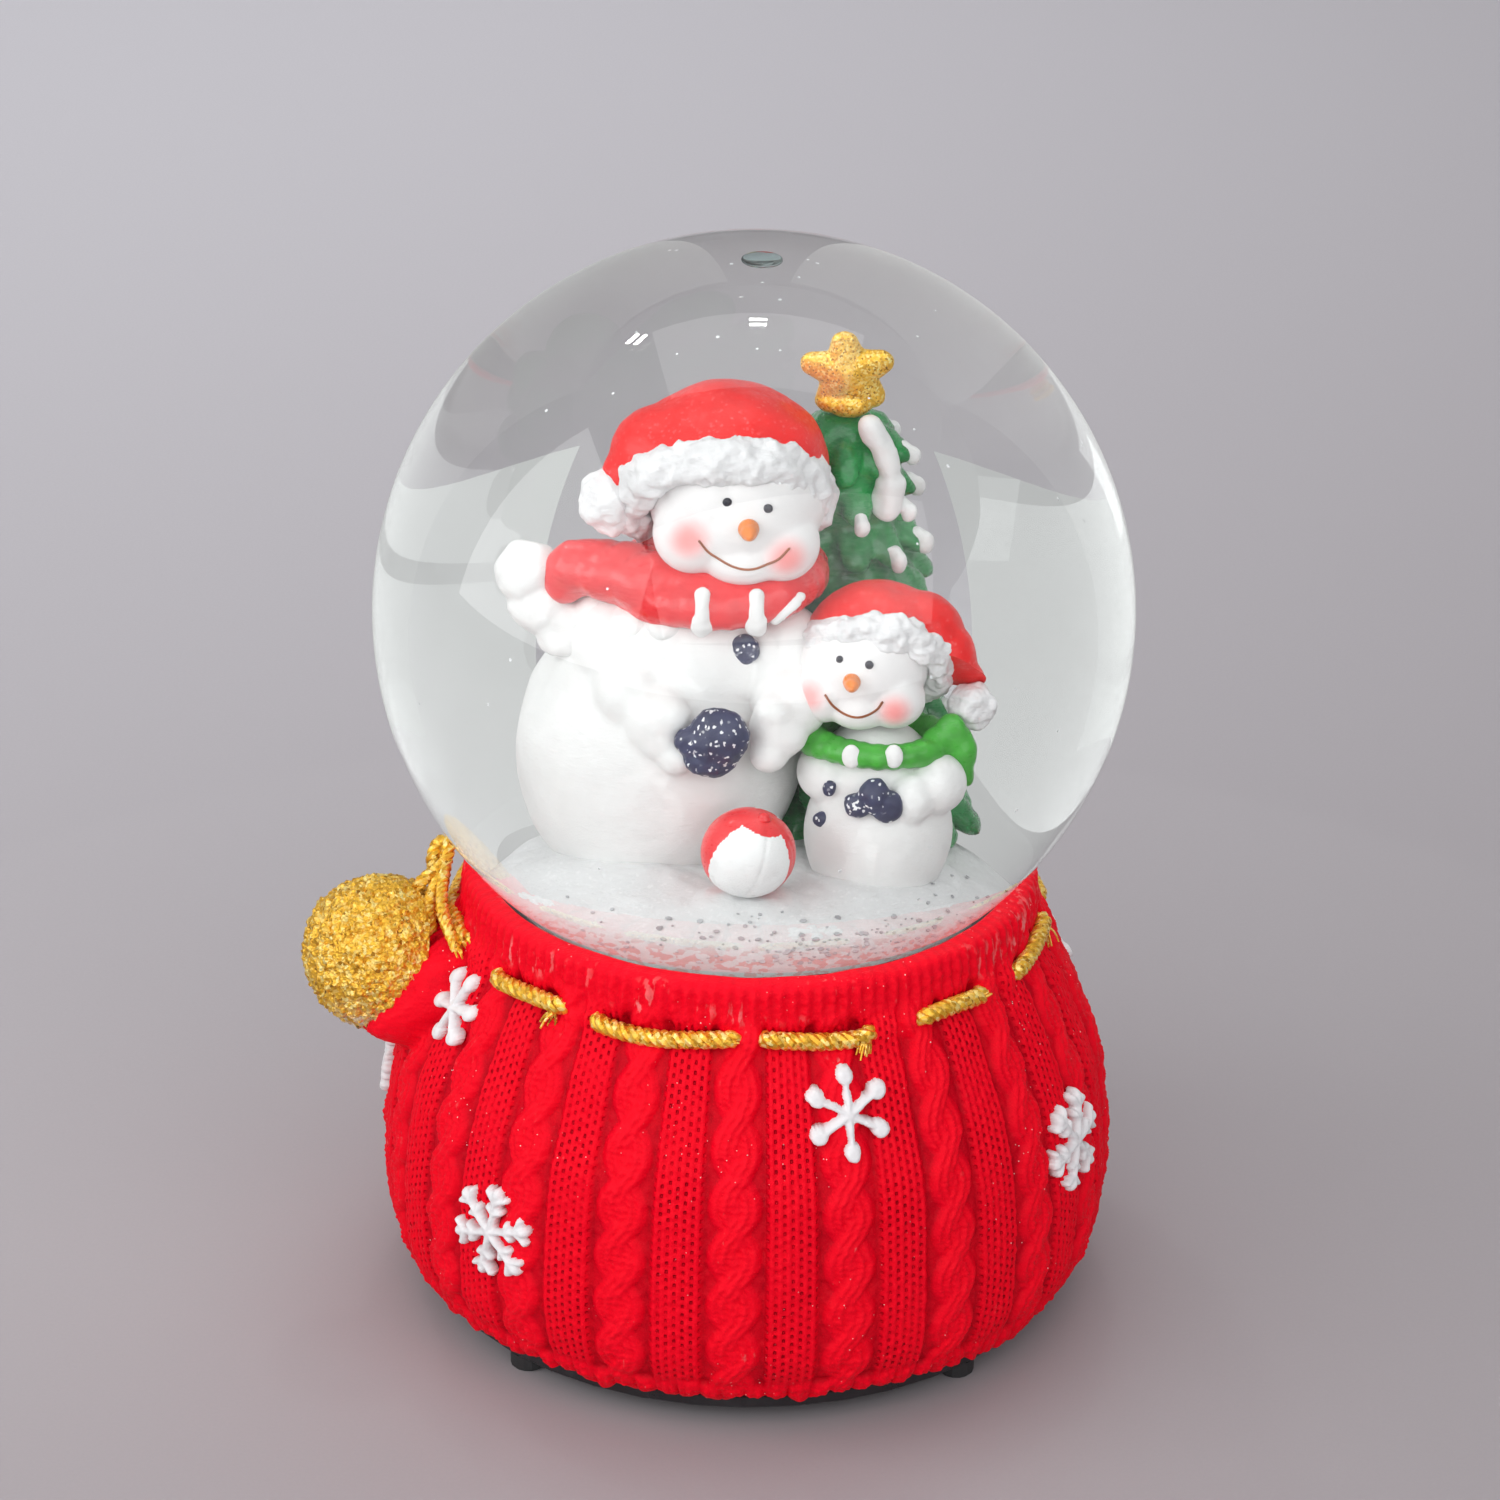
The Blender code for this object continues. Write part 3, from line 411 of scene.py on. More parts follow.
def grid_faces(rows, columns, wrap_rows=False, wrap_columns=True):
    """Quads between neighbouring points of a grid that is stored row by row."""
    i = np.arange(rows if wrap_rows else rows - 1)[:, None]
    j = np.arange(columns if wrap_columns else columns - 1)[None, :]
    below, beside = (i + 1) % rows, (j + 1) % columns
    quads = np.stack(
        np.broadcast_arrays(
            i * columns + j, i * columns + beside, below * columns + beside, below * columns + j
        ),
        axis=-1,
    )
    return quads.reshape(-1, 4)


def mesh_of(name, points, faces, sharp=50):
    """A smooth-shaded mesh from points in millimetres from the globe's axis."""
    mesh = bpy.data.meshes.new(name)
    moved = np.asarray(points, float) * MM + np.array([AXIS_X, 0, 0])
    mesh.from_pydata(moved.tolist(), [], [list(face) for face in faces])
    mesh.update()
    outward(mesh)
    mesh.shade_smooth()
    mesh.set_sharp_from_angle(angle=math.radians(sharp))
    return mesh


def outward(mesh):
    form = bmesh.new()
    form.from_mesh(mesh)
    bmesh.ops.recalc_face_normals(form, faces=form.faces)
    form.to_mesh(mesh)
    form.free()


def turned(name, profile, steps):
    """A turned surface of (radius, height) pairs, as an object of the stage."""
    angles = np.linspace(0, 2 * math.pi, steps, endpoint=False)
    points = [
        (max(radius, 1) * math.cos(a), max(radius, 1) * math.sin(a), height)
        for radius, height in profile
        for a in angles
    ]
    made = bpy.data.objects.new(name, mesh_of(name, points, grid_faces(len(profile), steps)))
    bpy.context.scene.collection.objects.link(made)
    return made


def ellipsoids(shapes):
    """One mesh of stretched balls. A shape is a centre, its radii and, if it leans, its turn."""
    form = bmesh.new()
    for centre, radii, *lean in shapes:
        turn = Euler(lean[0]).to_matrix().to_4x4() if lean else Matrix.Identity(4)
        scale = Matrix.Diagonal((*(radius * MM for radius in radii), 1))
        matrix = Matrix.Translation(spot(*centre)) @ turn @ scale
        bmesh.ops.create_icosphere(form, subdivisions=4, radius=1, matrix=matrix)
    mesh = bpy.data.meshes.new("shapes")
    form.to_mesh(mesh)
    form.free()
    return mesh


def moulded(shapes, voxel, soften):
    """Stretched balls melted into one soft skin."""
    helper = bpy.data.objects.new("helper", ellipsoids(shapes))
    bpy.context.scene.collection.objects.link(helper)
    skin = helper.modifiers.new("skin", "REMESH")
    skin.mode = "VOXEL"
    skin.voxel_size = voxel * MM
    relax = helper.modifiers.new("relax", "SMOOTH")
    relax.factor = 0.5
    relax.iterations = soften
    bpy.context.view_layer.update()
    graph = bpy.context.evaluated_depsgraph_get()
    mesh = bpy.data.meshes.new_from_object(helper.evaluated_get(graph))
    bpy.data.objects.remove(helper)
    mesh.shade_smooth()
    return mesh


def displaced(mesh, amount):
    """Moves each point along its normal. The function gives millimetres for the points."""
    count = len(mesh.vertices)
    places = np.empty(count * 3, np.float32)
    normals = np.empty(count * 3, np.float32)
    mesh.vertices.foreach_get("co", places)
    mesh.vertex_normals.foreach_get("vector", normals)
    places = places.reshape(-1, 3).astype(float)
    local = (places - np.array([AXIS_X, 0, 0])) / MM
    places += normals.reshape(-1, 3) * (amount(local) * MM)[:, None]
    mesh.vertices.foreach_set("co", places.astype(np.float32).ravel())
    mesh.update()
    return mesh


def lumpy(mesh, *waves):
    """Uneven relief. A wave is a pitch and a height in millimetres."""

    def amount(local):
        return sum(height * smooth_noise(local, pitch, i) for i, (pitch, height) in enumerate(waves))

    return displaced(mesh, amount)


def trimmed(mesh, centre, normal):
    """Keeps the side of a plane that its normal points to, and closes the cut."""
    form = bmesh.new()
    form.from_mesh(mesh)
    everything = [*form.verts, *form.edges, *form.faces]
    bmesh.ops.bisect_plane(
        form, geom=everything, plane_co=spot(*centre), plane_no=normal, clear_inner=True
    )
    rim = [edge for edge in form.edges if edge.is_boundary]
    bmesh.ops.holes_fill(form, edges=rim, sides=0)
    form.to_mesh(mesh)
    form.free()
    mesh.set_sharp_from_angle(angle=math.radians(60))
    return mesh


def sweep(points, radius, sides=8, taper=1.0):
    """Points and faces of a closed tube along a path of points in millimetres."""
    path = [Vector(point) for point in points]
    rings, faces = [], []
    normal = None
    for i, here in enumerate(path):
        ahead = path[min(i + 1, len(path) - 1)] - path[max(i - 1, 0)]
        tangent = ahead.normalized()
        if normal is None:
            normal = tangent.orthogonal().normalized()
        normal = (normal - tangent * normal.dot(tangent)).normalized()
        across = tangent.cross(normal)
        share = i / (len(path) - 1)
        size = radius * (1 + (taper - 1) * share)
        for side in range(sides):
            angle = 2 * math.pi * side / sides
            rings.append(here + (normal * math.cos(angle) + across * math.sin(angle)) * size)
    for i in range(len(path) - 1):
        for side in range(sides):
            beside = (side + 1) % sides
            low, high = i * sides, (i + 1) * sides
            faces.append((low + side, low + beside, high + beside, high + side))
    faces.append(tuple(reversed(range(sides))))
    faces.append(tuple(range((len(path) - 1) * sides, len(path) * sides)))
    return rings, faces


def bundle(name, tubes, sharp=50):
    """One mesh of many tubes, each a (points, faces) pair."""
    points, faces = [], []
    for ring_points, ring_faces in tubes:
        start = len(points)
        points += ring_points
        faces += [tuple(index + start for index in face) for face in ring_faces]
    return mesh_of(name, [tuple(point) for point in points], faces, sharp)


def rounded_path(points, count):
    """A smooth curve through points, as evenly spaced steps."""
    path = [Vector(point) for point in points]
    path = [2 * path[0] - path[1], *path, 2 * path[-1] - path[-2]]
    made = []
    spans = len(path) - 3
    for step in range(count):
        along = step / (count - 1) * spans
        i = min(int(along), spans - 1)
        t = along - i
        a, b, c, d = path[i : i + 4]
        made.append(
            0.5
            * (
                2 * b
                + (c - a) * t
                + (2 * a - 5 * b + 4 * c - d) * t**2
                + (3 * b - a - 3 * c + d) * t**3
            )
        )
    return made


def twisted(path, radius, strands=3, lay=3.2):
    """Tubes of a twisted cord along a path. Lay is the length of one turn."""
    tubes = []
    lengths = [0.0]
    for a, b in itertools.pairwise(path):
        lengths.append(lengths[-1] + (b - a).length)
    for strand in range(strands):
        centre = []
        normal = None
        for i, here in enumerate(path):
            tangent = (path[min(i + 1, len(path) - 1)] - path[max(i - 1, 0)]).normalized()
            if normal is None:
                normal = tangent.orthogonal().normalized()
            normal = (normal - tangent * normal.dot(tangent)).normalized()
            across = tangent.cross(normal)
            angle = 2 * math.pi * (lengths[i] / lay + strand / strands)
            offset = normal * math.cos(angle) + across * math.sin(angle)
            centre.append(here + offset * radius * 0.52)
        tubes.append(sweep(centre, radius * 0.52, 7))
    return tubes


# The knitted sack

PANELS = 20
PANEL_PITCH = 360 / PANELS
FIRST_CABLE = -91.5  # bearing of the middle of a cable
PANEL_WIDTH = 15.4  # of a panel where the sack is widest
CABLE_HALF = 3.75
RIB_HALF = 3.3
RIB_LINES = 6
STITCH = 1.2  # height of a stitch
TWIST = 14.0  # height of a cable's full twist
KNOBS = 5  # knobs of the hem in a panel
RELIEF = 1.15  # from the silhouette down to the ground of the knit
SURFACE_STEP = 0.27  # between points of the outer path
PAST_RIM = 60  # points of the outer path from the mouth to beyond the rim
SACK_TOP, HEM_TOP, CORD_Z = 57.2, 8.6, 55.0
OUTER_PATH = [  # radius and height, from the mouth over the rim down to the hem
    (35.75, 57.0), (35.65, 61.2), (35.3, 62.1), (35.7, 62.5), (36.6, 62.4), (37.5, 62.2),
    (38.3, 61.6), (38.75, 60.4), (38.9, 58.6), (39.2, 56.6), (39.4, 55), (39.9, 53.6), (41.2, 51.2),
    (42.6, 48.4), (44.5, 44), (46.2, 40), (47.6, 36), (48.4, 32), (49, 27), (49.35, 22),
    (49.3, 17), (48.8, 12.5), (47.8, 9.3), (47.1, 7.6), (46.4, 6.2), (45.5, 5.2), (44.2, 4.95),
    (42.6, 5.0), (41.3, 5.3),
]
INNER_PATH = [
    (41.0, 8), (41.2, 10.4), (43.6, 14), (44.4, 18), (44.4, 28), (43.2, 36), (41, 43), (38.2, 48.6),
    (35.4, 51.4), (35.2, 54.6),
]
CORD_SHOWS = [  # bearings between which the drawstring lies on the knit
    (-147, -127), (-120, -92), (-87, -66), (-56, -39), (-28, -5), (6, 27), (37, 60), (70, 93),
    (103, 126), (137, 158),
]
LOBE = (-4.0, 46.4, 11.2)  # across, height and radius of the lobe that holds the pom-pom
LOBE_REACH, LOBE_SLANT, LOBE_END = 49.4, 0.75, 53.4  # reach at its middle, lean and limit


def resampled(path, step):
    """A smooth curve through a path, with points about a step apart."""
    dense = rounded_path([(r, 0, z) for r, z in path], 60 * len(path))
    dense = np.array([(point.x, point.z) for point in dense])
    gone = np.concatenate([[0], np.cumsum(np.linalg.norm(np.diff(dense, axis=0), axis=1))])
    at = np.linspace(0, gone[-1], int(gone[-1] / step) + 1)
    return np.stack([np.interp(at, gone, dense[:, 0]), np.interp(at, gone, dense[:, 1])], axis=1)


def bell(value, half):
    """1 at 0, falling smoothly to 0 at the half width."""
    share = np.clip(1 - np.abs(value) / half, 0, 1)
    return share * share * (3 - 2 * share)


def knit_relief(bearing, height):
    """The knit's height over its ground, in millimetres, for arrays of bearings and heights."""
    panel = (bearing - FIRST_CABLE) / PANEL_PITCH
    number = np.round(panel)
    x = (panel - number) * PANEL_WIDTH
    beside = PANEL_WIDTH / 2 - np.abs(x)
    # twisted cable
    phase = 2 * math.pi * (height / TWIST + 0.37 * np.mod(number, 3))
    sway = 1.5 * np.sin(phase)
    lift = 0.26 * np.cos(phase)
    cable = np.zeros_like(x)
    for sign in (1, -1):
        across = (x - sign * sway) / 2.2
        dome = np.sqrt(np.clip(1 - across**2, 0, 1))
        slant = height - sign * np.cos(phase) * x * 0.9 + 0.5 * across**2
        stitches = np.cos(2 * math.pi * slant / STITCH)
        lines = np.cos(2 * math.pi * across * 1.75)
        strand = dome * (0.85 + sign * lift + 0.15 * lines + 0.09 * stitches)
        cable = np.maximum(cable, strand)
    cable = 0.28 + cable
    # ladders of stitches
    line = beside * RIB_LINES / (2 * RIB_HALF)
    crest = np.cos(2 * math.pi * (line - 0.5 * (RIB_LINES % 2 == 0)))
    rung = np.cos(2 * math.pi * height / STITCH + math.pi * np.floor(line))
    rib = 0.76 + 0.2 * (1 - (beside / RIB_HALF) ** 2) + 0.15 * crest + 0.03 * rung
    in_rib = 1 / (1 + np.exp((beside - RIB_HALF - 0.1) / 0.13))
    in_cable = 1 / (1 + np.exp((np.abs(x) - CABLE_HALF) / 0.16))
    moss = 0.05 + 0.10 * np.cos(2 * math.pi * x / 1.1) * np.cos(math.pi * height / STITCH)
    body = moss + (cable - moss) * in_cable + (rib - moss) * in_rib
    # gathers of the collar
    fold = np.cos(2 * math.pi * x / (PANEL_WIDTH / 7))
    gather = 0.85 + 0.2 * fold + 0.04 * rung
    share = np.clip((height - SACK_TOP + 1.2) / 2.4, 0, 1)
    relief = body + (gather - body) * share
    # knobs of the hem, under a shallow crease
    knob = np.abs(np.cos(math.pi * x / (PANEL_WIDTH / KNOBS)))
    hem = 0.35 + 0.75 * np.sqrt(knob) + 0.12 * np.cos(2 * math.pi * x / 1.2) + 0.08 * rung
    share = np.clip((HEM_TOP - height) / 1.8, 0, 1)
    relief = relief + (hem - relief) * share
    return relief - 0.22 * bell(height - HEM_TOP, 1.1)


def under_cord(bearing, height):
    """Where the knit is pinched by the drawstring, and where it swells over it."""
    bearing = np.mod(bearing + 180, 360) - 180
    shown = np.zeros_like(bearing)
    for start, end in CORD_SHOWS:
        middle, half = (start + end) / 2, (end - start) / 2
        shown = np.maximum(shown, 1 / (1 + np.exp((np.abs(bearing - middle) - half) / 0.6)))
    shown = np.maximum(shown, 1 / (1 + np.exp((np.abs(np.abs(bearing) - 178) - 17) / 0.8)))
    near_cord = bell(height - CORD_Z, 2.6)
    return near_cord * (-0.75 * shown + 0.75 * (1 - shown))


def lobe_radius(bearing, height):
    """How far out the lobe's surface lies. It is 0 away from the lobe."""
    across, middle, radius = LOBE
    turn = np.radians(bearing - 180)
    y = -44.5 * np.sin(turn)
    away = np.hypot(y - across, height - middle) / radius
    face = np.minimum(LOBE_REACH + LOBE_SLANT * (middle - height), LOBE_END)
    reach = 37 + (face - 37) * np.sqrt(np.clip(1 - away**4, 0, 1))
    facing = np.cos(turn)
    return np.where((away < 1) & (facing > 0.5), reach / np.maximum(facing, 0.5), 0)


def sack_surface(bearing, radius, height):
    """The knitted surface's radius and height for points of the sack's outer path."""
    outside = np.clip((radius - 37.3) / 1.2, 0, 1) * np.clip((height - 5.0) / 0.7, 0, 1)
    lobe = lobe_radius(bearing, height)
    blend = 1.6
    high, low = np.maximum(radius, lobe), np.minimum(radius, lobe)
    swell = high + np.clip(blend - (high - low), 0, None) ** 2 / (4 * blend)
    base = np.where(outside > 0.2, swell, radius)
    relief = knit_relief(bearing, height) - RELIEF + under_cord(bearing, height)
    turn = np.radians(bearing)
    points = np.stack([base * np.cos(turn), base * np.sin(turn), height], axis=-1).reshape(-1, 3)
    rough = 0.17 * smooth_noise(points, 0.8, 3) + 0.22 * smooth_noise(points, 6, 4)
    rough = rough.reshape(base.shape)
    lean = np.clip((height - 60.2) / 1.5, 0, 1)
    final = base + outside * (relief + rough) * (1 - 0.5 * lean)
    panel = (bearing - FIRST_CABLE) / PANEL_PITCH
    knob = np.abs(np.cos(math.pi * (panel - np.round(panel)) * KNOBS))
    scallop = 0.5 * (1 - np.sqrt(knob)) * np.clip((6.6 - height) / 1.2, 0, 1)
    ragged = 0.95 * smooth_noise(points, 2.6, 8).reshape(base.shape)
    scallop = scallop + ragged * np.clip((6.4 - height) / 1.2, 0, 1)
    wave = 0.25 * smooth_noise(points, 5, 9).reshape(base.shape) * lean
    return final, height + scallop * (radius > 43) + wave, relief


def sack():
    """Four quarters of knit, which meet in the gutters between cable and ribs."""
    outer = resampled(OUTER_PATH, SURFACE_STEP)
    loop = np.concatenate([outer, np.array(INNER_PATH)])
    columns = 301
    gutter = FIRST_CABLE + PANEL_PITCH * (CABLE_HALF + 0.4) / PANEL_WIDTH
    look = knit_look()
    for quarter in range(4):
        start = gutter + 90 * quarter
        bearing = np.linspace(start, start + 90, columns)[None, :].repeat(len(loop), 0)
        radius = loop[:, :1].repeat(columns, 1)
        height = loop[:, 1:].repeat(columns, 1)
        relief = np.zeros_like(radius)
        shown = slice(0, len(outer))
        radius[shown], height[shown], relief[shown] = sack_surface(
            bearing[shown], radius[shown], height[shown]
        )
        turn = np.radians(bearing)
        points = np.stack([radius * np.cos(turn), radius * np.sin(turn), height], axis=-1)
        faces = grid_faces(len(loop), columns, wrap_rows=True, wrap_columns=False).tolist()
        faces.append([i * columns for i in range(len(loop))])
        faces.append([i * columns + columns - 1 for i in reversed(range(len(loop)))])
        name = f"sack_quarter_{quarter + 1}"
        mesh = mesh_of(name, points.reshape(-1, 3), faces, 80)
        # the knit's height over its ground, which knit_paint turns into painted shade in the hollows
        # and painted light on the crests
        attribute = mesh.attributes.new("relief", "FLOAT", "POINT")
        attribute.data.foreach_set("value", (relief.ravel() + RELIEF).astype(np.float32))
        piece(name, mesh, look, replaces=("sack_base",))


def stitch_holes(look, height):
    """1 in the small holes between the wales of the ladders, and 0 elsewhere."""
    parts = look.node("ShaderNodeSeparateXYZ")
    look.link(look.place, parts.inputs[0])
    across = look.math("SUBTRACT", parts.outputs["X"], AXIS_X)
    turn = look.math("ARCTAN2", parts.outputs["Y"], across)
    panel = look.math("MULTIPLY", turn, PANELS / (2 * math.pi))
    from_cable = look.math("PINGPONG", look.math("SUBTRACT", panel, FIRST_CABLE / PANEL_PITCH), 0.5)
    line = look.math("SUBTRACT", 0.5, from_cable)
    line = look.math("MULTIPLY", line, PANEL_WIDTH * RIB_LINES / (2 * RIB_HALF))
    column = look.math("COSINE", look.math("MULTIPLY", line, 2 * math.pi))
    row = look.math("MULTIPLY", height, 2 * math.pi / STITCH)
    shift = look.math("MULTIPLY", look.math("ROUND", line), math.pi)
    row = look.math("COSINE", look.math("ADD", row, shift))
    holes = look.math("MULTIPLY", look.levels(column, 0.25, 0.9), look.levels(row, 0.15, 0.85))
    in_rib = look.levels(line, RIB_LINES / 2 + 0.3, RIB_LINES / 2 - 0.2)
    filled = look.levels(look.noise(6, 3), 0.35, 0.6, 0.35, 1.0)
    holes = look.math("MULTIPLY", look.math("MULTIPLY", holes, in_rib), filled)
    under_collar = look.levels(height, SACK_TOP, SACK_TOP - 1.5)
    over_hem = look.levels(height, HEM_TOP, HEM_TOP + 1)
    open_knit = look.math("MULTIPLY", under_collar, over_hem)
    return look.math("MULTIPLY", holes, open_knit)


def knit_look():
    """Red paint on cast knit: painted shade, deep red, in the hollows, and painted light and wear on
    the crests.
    """
    look = Look("knit_paint", (0.8, 0.002, 0.008), 0.5, specular_ior_level=0.08)
    relief = look.attribute("relief")
    # painted shade and painted light: the knit's height turns into deep red in the hollows and pale
    # red on the crests
    tone = look.ramp(
        look.levels(relief, 0.1, 1.6),
        [
            (0.0, (0.42, 0.0, 0.008)),
            (0.3, (0.78, 0.0, 0.014)),
            (0.6, (0.90, 0.001, 0.016)),
            (1.0, (0.98, 0.004, 0.02)),
        ],
    )
    cloudy = look.levels(look.noise(5, 4), 0.35, 0.7, 0.0, 0.35)
    tone = look.mix(cloudy, tone, (0.93, 0.002, 0.014))
    tone_mask = look.levels(look.noise(1.1, 5, stretch=(1, 1, 0.35)), 0.66, 0.74)
    patches = look.levels(look.noise(9, 2), 0.52, 0.66)
    crests = look.levels(relief, 0.8, 1.2)
    tone_mask = look.math("MULTIPLY", look.math("MULTIPLY", tone_mask, patches), crests)
    tone = look.mix(look.math("MULTIPLY", tone_mask, 0.55), tone, (0.9, 0.30, 0.28))
    height = look.place_z()
    chips = look.levels(look.noise(1.0, 5, stretch=(1, 1, 0.3)), 0.56, 0.62)
    clumps = look.levels(look.noise(11, 2), 0.5, 0.64, 0, 0.75)
    collar = look.math("MULTIPLY", look.levels(height, 56.6, 58), clumps)
    tone = look.mix(look.math("MULTIPLY", chips, collar), tone, (0.88, 0.28, 0.27))
    holes = stitch_holes(look, height)
    # painted shade: the stitch holes are painted dark red
    tone = look.mix(look.math("MULTIPLY", holes, 0.7), tone, (0.3, 0.0, 0.006))
    flecks = look.levels(look.cells(1.1), 0.085, 0.06)
    rare = look.levels(look.noise(12, 2), 0.52, 0.6)
    tone = look.mix(look.math("MULTIPLY", flecks, rare), tone, (0.95, 0.72, 0.68))
    look.connect(tone, "Base Color")
    look.connect(look.levels(look.noise(1.5, 4), 0.3, 0.7, 0.42, 0.62), "Roughness")
    first = look.bump(look.noise(0.35, 3), 0.11)
    second = look.bump(look.noise(1.0, 3), 0.12, first)
    look.bump(look.math("SUBTRACT", 1.0, holes), 0.3, second)
    return look


def cord_path():
    """The drawstring's middle line: on the knit where it shows, and under it elsewhere."""
    path = []
    for step in range(720):
        bearing = -180 + step / 2
        shows = max(
            [min(bearing - start, end - bearing) for start, end in CORD_SHOWS]
            + [17 - abs(abs(bearing) - 178)]
        )
        share = min(max((shows + 1.5) / 3, 0), 1)
        share = share * share * (3 - 2 * share)
        radius = 37.6 + 2.0 * share
        dip = -0.5 * math.sin(math.radians(bearing) * 9) * share
        path.append(Vector(polar(radius, bearing, CORD_Z + dip)))
    path.append(path[0].copy())
    return path


def frayed(tip, heading, seed, count=7, length=3.0):
    """Loose threads at a cut end of the cord."""
    rng = random.Random(seed)
    tubes = []
    for _ in range(count):
        spread = Vector((rng.uniform(-1, 1), rng.uniform(-1, 1), rng.uniform(-1, 1))) * 0.35
        aim = (Vector(heading).normalized() + spread).normalized()
        end = Vector(tip) + aim * length * rng.uniform(0.6, 1)
        bend = (Vector(tip) + end) / 2 + spread * 0.8
        tubes.append(sweep(rounded_path([tip, bend, end], 7), rng.uniform(0.16, 0.26), 6, 0.55))
    return tubes


def drawstring():
    tubes = twisted(cord_path(), 1.2, 3, 3.6)
    for seed, (_, end) in enumerate(CORD_SHOWS):
        bearing = end - 1.5
        tip = polar(40.0, bearing, CORD_Z - 0.2)
        outward_lean = Vector(polar(0.25, bearing, 0))
        along = Vector(polar(1, bearing + 90, 0))
        if seed % 2 == 0:
            tubes += frayed(tip, Vector((0, 0, -1)) + outward_lean * 1.2 - along * 0.3, seed, 8, 3.2)
        else:
            tubes += frayed(tip, along * 0.9 + Vector((0, 0, 0.2)) + outward_lean, seed, 5, 1.8)
    mesh = bundle("drawstring_twist", tubes)
    piece(
        "drawstring_twist", mesh, gold_look("gold_cord", 0.25), replaces=("drawstring",)
    )
    loop = rounded_path(
        [
            (-41.6, -0.6, 57.8), (-42.6, 0.8, 60.2), (-41.9, 2.4, 62.2), (-40.6, 1.6, 62.4),
            (-40.9, -0.2, 60.4), (-41.4, -3.2, 57.4), (-41.9, -5.4, 55.2),
        ],
        60,
    )
    tubes = twisted(loop, 1.0, 3, 3.0)
    for end in ((-44.6, -2.6, 57.6), (-38.6, -13.4, 54.4), (-42.4, -7.4, 53.6)):
        middle = (Vector(end) + Vector((-41.2, -1.5, 59.4))) / 2
        middle += Vector((-0.9, -0.7, 0.6))
        path = rounded_path([(-41.0, -0.4, 60.6), middle, end], 36)
        tubes += twisted(path, 0.9, 3, 2.8)
        tubes += frayed(end, Vector(end) - middle, 40 + round(end[1]), 5, 1.6)
    mesh = bundle("drawstring_bow_twist", tubes)
    look = gold_look("gold_bow", 0.25)
    piece("drawstring_bow_twist", mesh, look, replaces=("drawstring_bow",))


def sphere_points(count):
    """Evenly spread unit vectors."""
    golden = math.pi * (3 - math.sqrt(5))
    made = []
    for i in range(count):
        z = 1 - 2 * (i + 0.5) / count
        ring = math.sqrt(1 - z * z)
        made.append(Vector((ring * math.cos(i * golden), ring * math.sin(i * golden), z)))
    return made


def pompom():
    """A ball of coarse gold grains."""
    low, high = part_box("pompom")
    radius = (high.z - low.z) / 2 / MM
    centre = ((low.x - AXIS_X) / MM + radius, (low.y + high.y) / 2 / MM, (low.z + high.z) / 2 / MM)
    grain = 0.55
    inner = radius - 1.15
    mesh = moulded([(centre, (inner, inner, inner))], 0.42, 1)
    tree = kdtree.KDTree(1500)
    middle = Vector(centre)
    for i, aim in enumerate(sphere_points(1500)):
        push = Vector((dice.uniform(-1, 1), dice.uniform(-1, 1), dice.uniform(-1, 1))) * 0.35
        tree.insert(middle + aim * inner + push, i)
    tree.balance()
    heights = [dice.uniform(0.35, 0.95) for _ in range(1500)]

    def amount(local):
        values = []
        for point in local:
            _, index, away = tree.find(Vector(point))
            values.append(heights[index] * math.sqrt(max(1 - (away / grain) ** 2, 0)))
        coarse = 0.22 * smooth_noise(local, 3.2, 5)
        return np.array(values) + coarse

    displaced(mesh, amount)
    trimmed(mesh, (-42.5, 0, 49), (-1, 0, 0))
    look = gold_look("gold_pompom", 1.3)
    pale = look.node("ShaderNodeMix", data_type="RGBA")
    under = look.shader.inputs["Base Color"].links[0].from_socket
    low_spot = look.near((centre[0] - 2, centre[1] - 6, centre[2] - 8), 8)
    patchy = look.math("MULTIPLY", low_spot, look.levels(look.noise(1.4, 4), 0.4, 0.6))
    look.link(patchy, pale.inputs[0])
    look.link(under, pale.inputs[6])
    look.link((1.0, 0.93, 0.72), pale.inputs[7])
    look.connect(pale.outputs[2], "Base Color")
    piece("pompom_glitter", mesh, look, replaces=("pompom",))


# Snowflakes

FLAKES = {  # bearing, height, reach, roll and number of lobes at each tip
    "snowflake_1": (-154.5, 48.4, 5.2, 12, 1),
    "snowflake_2": (-72.6, 46.2, 6.0, 30, 1),
    "snowflake_3": (-132.2, 24.9, 6.8, 20, 3),
    "snowflake_4": (-26.2, 31.5, 6.8, 8, 3),
    "snowflake_5": (176.0, 30.0, 5.8, 0, 3),
    "snowflake_6": (128.0, 44.0, 5.6, 16, 1),
    "snowflake_7": (66.0, 28.0, 6.8, 24, 3),
    "snowflake_8": (24.0, 42.0, 6.0, 5, 1),
}


def flake_distance(x, y, reach, lobes):
    """Signed distance, in millimetres, from a flat six-armed flake's edge."""
    angle = np.arctan2(y, x)
    radius = np.hypot(x, y)
    folded = np.mod(angle + math.pi / 6, math.pi / 3) - math.pi / 6
    u, v = radius * np.cos(folded), np.abs(radius * np.sin(folded))
    arm = np.hypot(np.clip(u - (reach - 1), 0, None) - np.clip(-u, 0, None), v) - 0.55
    shapes = [arm]
    if lobes == 1:
        bulb = 0.2 * reach
        shapes.append(np.hypot((u - reach + bulb * 1.1) / 1.1, v) - bulb)
        shapes.append(np.hypot(u, v) - 0.95)
    else:
        shapes.append(np.hypot((u - reach + 0.9) / 1.2, v) - 0.8)
        for foot, size in ((reach - 2.1, 1.9), (reach - 3.9, 1.2)):
            along = np.clip((u - foot) * 0.6 + v * 0.8, 0, size)
            branch = np.hypot(u - foot - along * 0.6, v - along * 0.8) - 0.5
            shapes.append(branch)
        shapes.append(np.hypot(u, v) - 0.8)
    return np.minimum.reduce(shapes)


